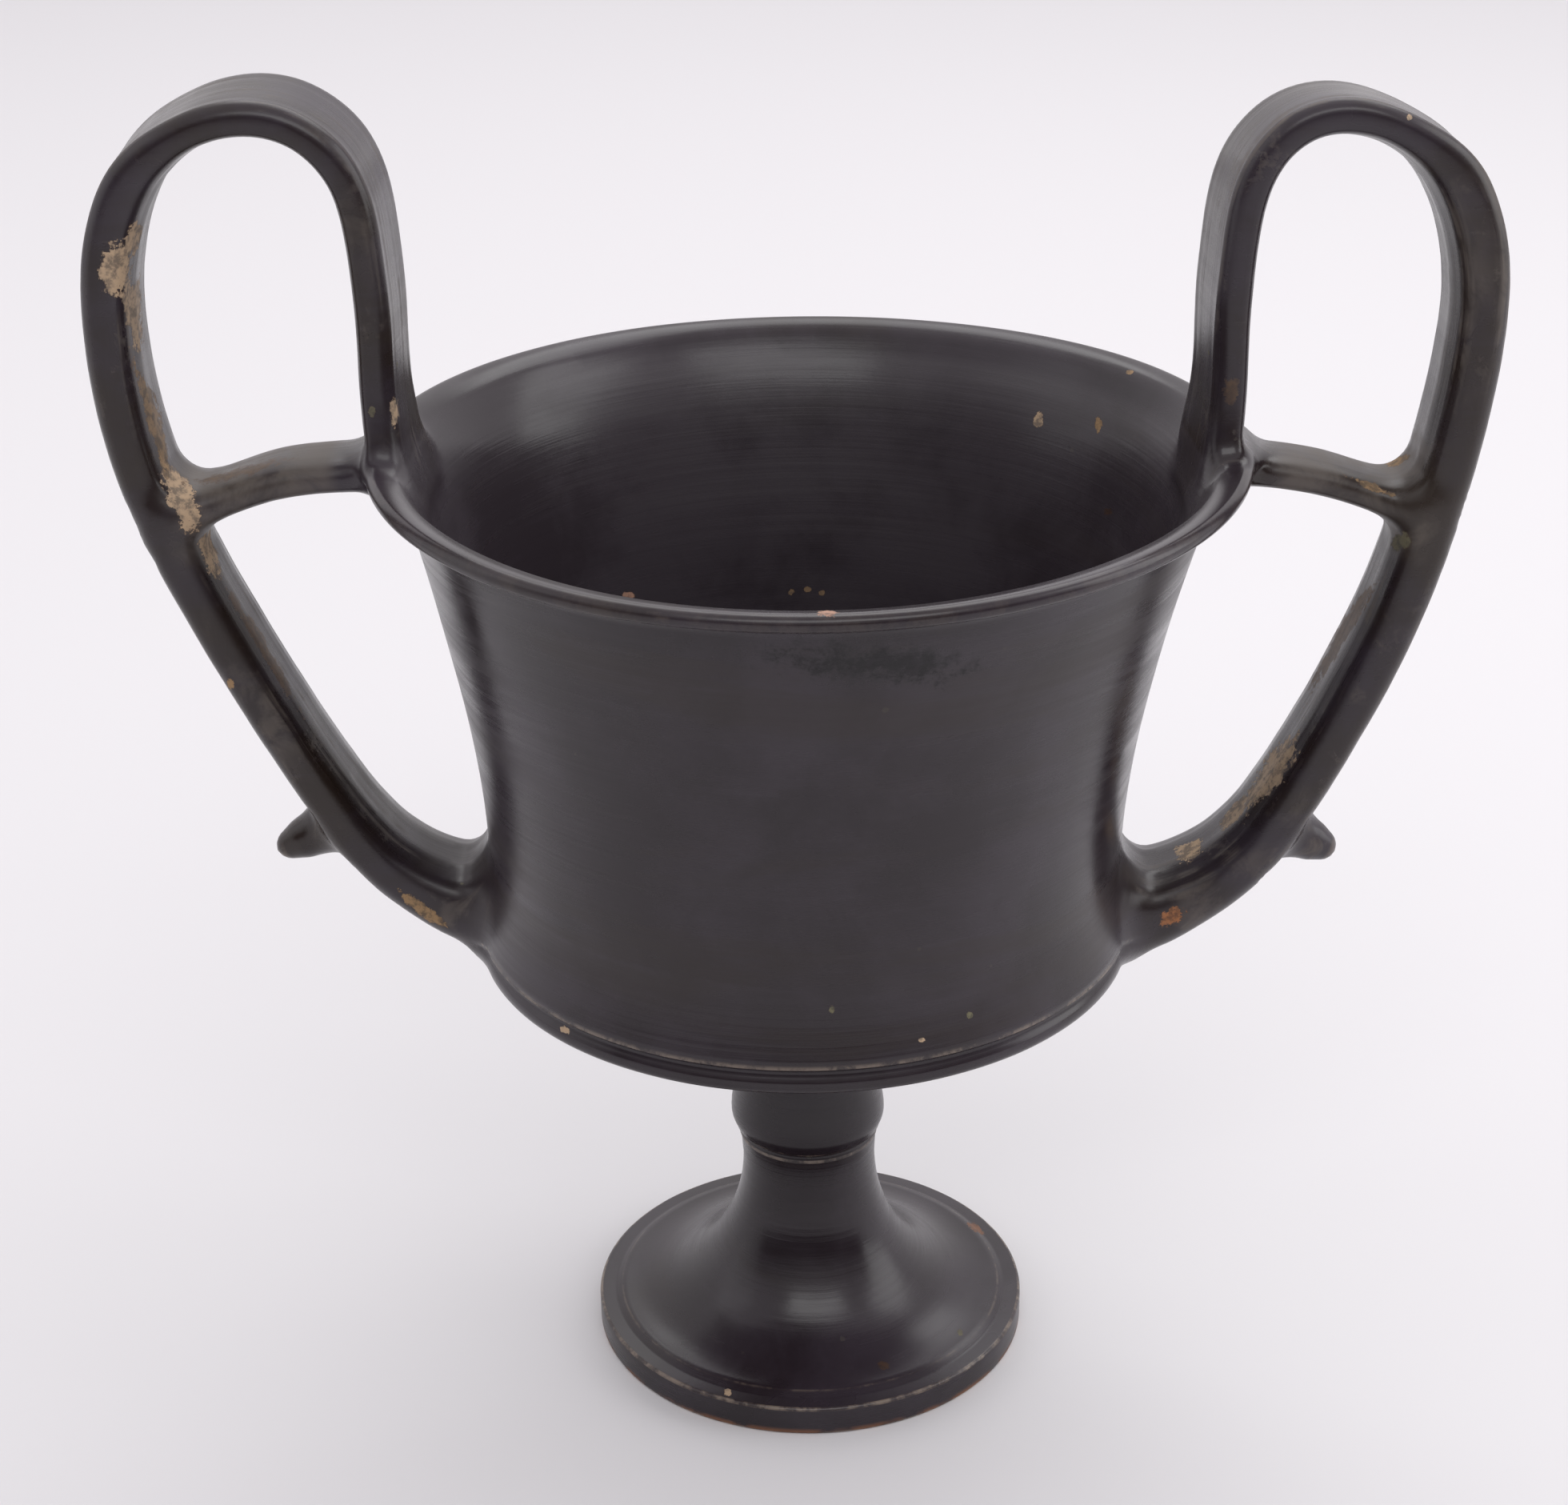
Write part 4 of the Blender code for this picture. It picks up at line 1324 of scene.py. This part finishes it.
    def marks_of(self, board: Board, place: Wire, camera: PhotoCamera, surface: BVHTree, tone: Tone,
                 ragged: Wire) -> Wire | None:
        """Mask of all marks of one tone, each on the surface under its pixel, or None if there are none."""
        total: Wire | None = None
        for mark in (mark for mark in MARKS if mark.tone is tone):
            spot, _, _, distance = surface.ray_cast(camera.place, camera.ray(mark.pixel))
            if spot is None:
                LOG.warning("mark %s misses the cup", mark.name)
                continue
            scale = distance / camera.focal_px
            depth = 0.75 * scale * max(mark.half_width, mark.half_height)
            depth = min(max(self.mark_least_depth, depth), self.mark_most_depth)
            radii = (mark.half_width * scale, mark.half_height * scale, depth)
            turn = camera.turn() @ Matrix.Rotation(math.radians(-mark.tilt_deg), 3, "Z")
            local = board.add("ShaderNodeMapping", {"vector_type": "TEXTURE"}, {
                "Vector": place, "Location": spot, "Rotation": turn.to_euler(), "Scale": radii})
            far = board.add("ShaderNodeVectorMath", {"operation": "LENGTH"}, {0: local}, "Value")
            mask = (far + ragged).step(self.mark_edge, self.mark_edge - mark.crispness) * mark.strength
            total = mask if total is None else total.most(mask)
        return total


@dataclass(frozen=True)
class PaleFloor:
    """Plain pale sheet that the cup stands on."""

    half_size: float = 6.0
    tint: Colour = (0.715, 0.707, 0.722)

    def build(self) -> bpy.types.Object:
        """Makes the floor as part of the stage."""
        half = self.half_size
        mesh = bpy.data.meshes.new("pale_floor")
        mesh.from_pydata([(-half, -half, 0.0), (half, -half, 0.0), (half, half, 0.0), (-half, half, 0.0)], [],
                         [(0, 1, 2, 3)])
        floor = new_object("pale_floor", mesh)
        material, board, end = new_material("pale_sheet")
        shader = board.add("ShaderNodeBsdfPrincipled", {}, {
            "Base Color": opaque(self.tint), "Roughness": 0.85, "Specular IOR Level": 0.2})
        board.feed(end.socket, shader)
        mesh.materials.append(material)
        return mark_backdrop(floor)


@dataclass(frozen=True)
class SoftLight:
    """One large soft light aimed at the middle of the cup."""

    name: str
    place: Triple
    width: float
    height: float
    watts: float

    def build(self, target: Vector) -> None:
        """Adds the light, facing the target."""
        lamp = bpy.data.lights.new(self.name, "AREA")
        lamp.shape = "RECTANGLE"
        lamp.size = self.width
        lamp.size_y = self.height
        lamp.energy = self.watts
        item = bpy.data.objects.new(self.name, lamp)
        place = Vector(self.place)
        turn = (target - place).to_track_quat("-Z", "Y").to_matrix().to_4x4()
        item.matrix_world = Matrix.Translation(place) @ turn
        bpy.context.scene.collection.objects.link(item)


@dataclass
class Studio:
    """Pale surroundings, soft lights and the floor."""

    behind: Colour = (0.98, 0.945, 0.97)
    above: Colour = (0.74, 0.71, 0.735)
    before: Colour = (0.050, 0.048, 0.050)
    lights: tuple[SoftLight, ...] = field(default_factory=lambda: (
        SoftLight("overhead", (0.25, 0.95, 1.6), 1.8, 1.0, 12.0),
        SoftLight("front_gleam", (0.10, -0.80, 1.00), 1.00, 0.42, 3.0),
        SoftLight("left_side", (-1.3, -0.15, 0.6), 0.8, 1.2, 1.2),
        SoftLight("right_side", (1.35, -0.05, 0.7), 0.8, 1.2, 6.0),
    ))

    def build(self) -> None:
        """Lights the scene, with the room paler behind and above the cup than in front of it."""
        world = bpy.data.worlds.new("pale_room")
        bpy.context.scene.world = world
        world.use_nodes = True
        tree = world.node_tree
        tree.nodes.clear()
        board = Board(tree)
        way = board.add("ShaderNodeTexCoord", output="Generated")
        depth = board.add("ShaderNodeSeparateXYZ", {}, {"Vector": way}, "Y")
        height = board.add("ShaderNodeSeparateXYZ", {}, {"Vector": way}, "Z")
        tone = board.blend(height.step(0.12, 0.62), opaque(self.before), opaque(self.above))
        tone = board.blend(depth.step(-0.45, 0.40), tone, opaque(self.behind))
        sky = board.add("ShaderNodeBackground", {}, {"Color": tone, "Strength": 1.0})
        leave = board.add("ShaderNodeOutputWorld")
        board.feed(leave.socket, sky)
        bpy.context.scene.view_settings.view_transform = "Standard"
        for light in self.lights:
            light.build(Vector((0.0, 0.0, 0.12)))
        PaleFloor().build()


@dataclass
class Kantharos:
    """The whole cup: turned body, two handles, joined skin and its finish."""

    cup: Cup = field(default_factory=Cup)
    finish: SlipFinish = field(default_factory=SlipFinish)
    camera: PhotoCamera = field(default_factory=PhotoCamera)

    def handles(self) -> tuple[StrapHandle, StrapHandle]:
        """The two handles, with what is its own on each."""
        left = StrapHandle(
            self.cup, Hand.LEFT, rise=0.0671, reach=0.1287, root_over_keel=0.0036,
            shoulder_thickness=0.0095, back_thickness=0.0093, belly=-0.0005, hip=0.0, crown=0.0,
            strut_width=0.0176, strut_thickness=0.0072, strut_below_lip=0.0002, strut_arch=0.0013,
            spur_length=0.0155, loop_twist=0.06, lean_in=0.05)
        right = StrapHandle(
            self.cup, Hand.RIGHT, rise=0.0643, reach=0.1258, root_over_keel=0.0010,
            shoulder_thickness=0.0102, back_thickness=0.0101, belly=0.0017, hip=-0.0008, crown=0.0012,
            strut_width=0.0158, strut_thickness=0.0066, strut_below_lip=0.0010, strut_arch=0.0004,
            spur_length=0.0136, loop_twist=-0.05, lean_in=-0.085)
        return left, right

    def build(self) -> bpy.types.Object:
        """Makes the cup's one skin and dresses it.

        Returns:
            The finished object, at the origin and without modifiers.
        """
        material, board, end = new_material("worn_black_slip")
        body = self.cup.build(turning_tree(), material)
        sweeping = sweeping_tree()
        groups: dict[str, list[bpy.types.Object]] = {"cup": [body], "strap": [], "strut": [], "spur": []}
        for handle in self.handles():
            for kind, piece in handle.build(sweeping, material).items():
                groups[kind].append(piece)
        trees = [self.search_tree(pieces) for pieces in groups.values()]
        arms = [piece for kind in ("strap", "strut", "spur") for piece in groups[kind]]
        joining = Joining(self.cup)
        skin = joining.unite(body, arms)
        joining.soften(skin, trees)
        self.note_shares(skin, self.cup, trees[0], trees[1:])
        for piece in [body, *arms]:
            bpy.data.objects.remove(piece)
        skin.shade_smooth()
        skin.name = "kantharos_cup"
        skin.materials.clear()
        skin.materials.append(material)
        whole = new_object("kantharos_cup", skin)
        surface = self.search_tree([whole])
        self.finish.dress(board, end, self.camera, surface, self.cup)
        return whole

    @staticmethod
    def search_tree(pieces: Sequence[bpy.types.Object]) -> BVHTree:
        """Search tree over the faces of one or more objects."""
        places: list[Vector] = []
        faces: list[tuple[int, ...]] = []
        for piece in pieces:
            start = len(places)
            places += [vertex.co.copy() for vertex in piece.data.vertices]
            faces += [tuple(start + index for index in face.vertices) for face in piece.data.polygons]
        return BVHTree.FromPolygons(places, faces)

    @staticmethod
    def note_shares(mesh: bpy.types.Mesh, cup: Cup, cup_tree: BVHTree, arm_trees: Sequence[BVHTree]) -> None:
        """Stores on each vertex how far it is a handle's or the inside's, and how sharp an edge it is on."""
        count = len(mesh.vertices)
        handle = np.zeros(count, np.float32)
        inside = np.zeros(count, np.float32)
        blend_width = 0.006
        arms_from = 0.050
        for index, vertex in enumerate(mesh.vertices):
            if cup.bowl_foot_height < vertex.co.z < cup.rim_height:
                middle = cup.wall_radius(max(vertex.co.z, cup.keel_height)) - 0.5 * cup.wall_thickness
                inside[index] = math.hypot(vertex.co.x, vertex.co.y) < middle and vertex.normal.z > -0.3
            if abs(vertex.co.x) < arms_from:
                continue
            cup_far = cup_tree.find_nearest(vertex.co)[3]
            arm_far = min(tree.find_nearest(vertex.co)[3] for tree in arm_trees)
            share = 0.5 + (cup_far - arm_far) / blend_width
            handle[index] = min(max(share, 0.0), 1.0)
        sharp = Kantharos.sharpness(mesh)
        for name, values in (("handle_share", handle), ("inside_share", inside), ("edge_share", sharp)):
            mesh.attributes.new(name, "FLOAT", "POINT").data.foreach_set("value", values.astype(np.float32))

    @staticmethod
    def sharpness(mesh: bpy.types.Mesh, full_bend: float = 350.0) -> np.ndarray:
        """How sharp an edge each vertex is on, from 0 to 1, by how its neighbours fall away."""
        count = len(mesh.vertices)
        places = np.empty(count * 3)
        mesh.vertices.foreach_get("co", places)
        places = places.reshape(-1, 3)
        normals = np.array([vertex.normal for vertex in mesh.vertices])
        ends = np.empty(len(mesh.edges) * 2, int)
        mesh.edges.foreach_get("vertices", ends)
        first, second = ends.reshape(-1, 2).T
        gap = places[second] - places[first]
        length = np.linalg.norm(gap, axis=1) + 1e-9
        bend = np.zeros(count)
        weight = np.zeros(count)
        for own, sign in ((first, -1.0), (second, 1.0)):
            np.add.at(bend, own, sign * np.einsum("ij,ij->i", normals[own], gap) / length ** 2)
            np.add.at(weight, own, 1.0)
        bend /= np.maximum(weight, 1.0)
        return np.clip(bend / full_bend, 0.0, 1.0)


def main() -> None:
    """Builds the studio and the cup, and hands the cup to the frame."""
    logging.basicConfig(level=logging.INFO, format="%(name)s: %(message)s")
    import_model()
    camera = PhotoCamera()
    camera.build()
    Studio().build()
    piece = Kantharos(camera=camera).build()
    LOG.info("%s: %d triangles", piece.name, sum(len(face.vertices) - 2 for face in piece.data.polygons))
    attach(piece, BODY)
    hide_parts(NODE)


if __name__ == "__main__":
    main()
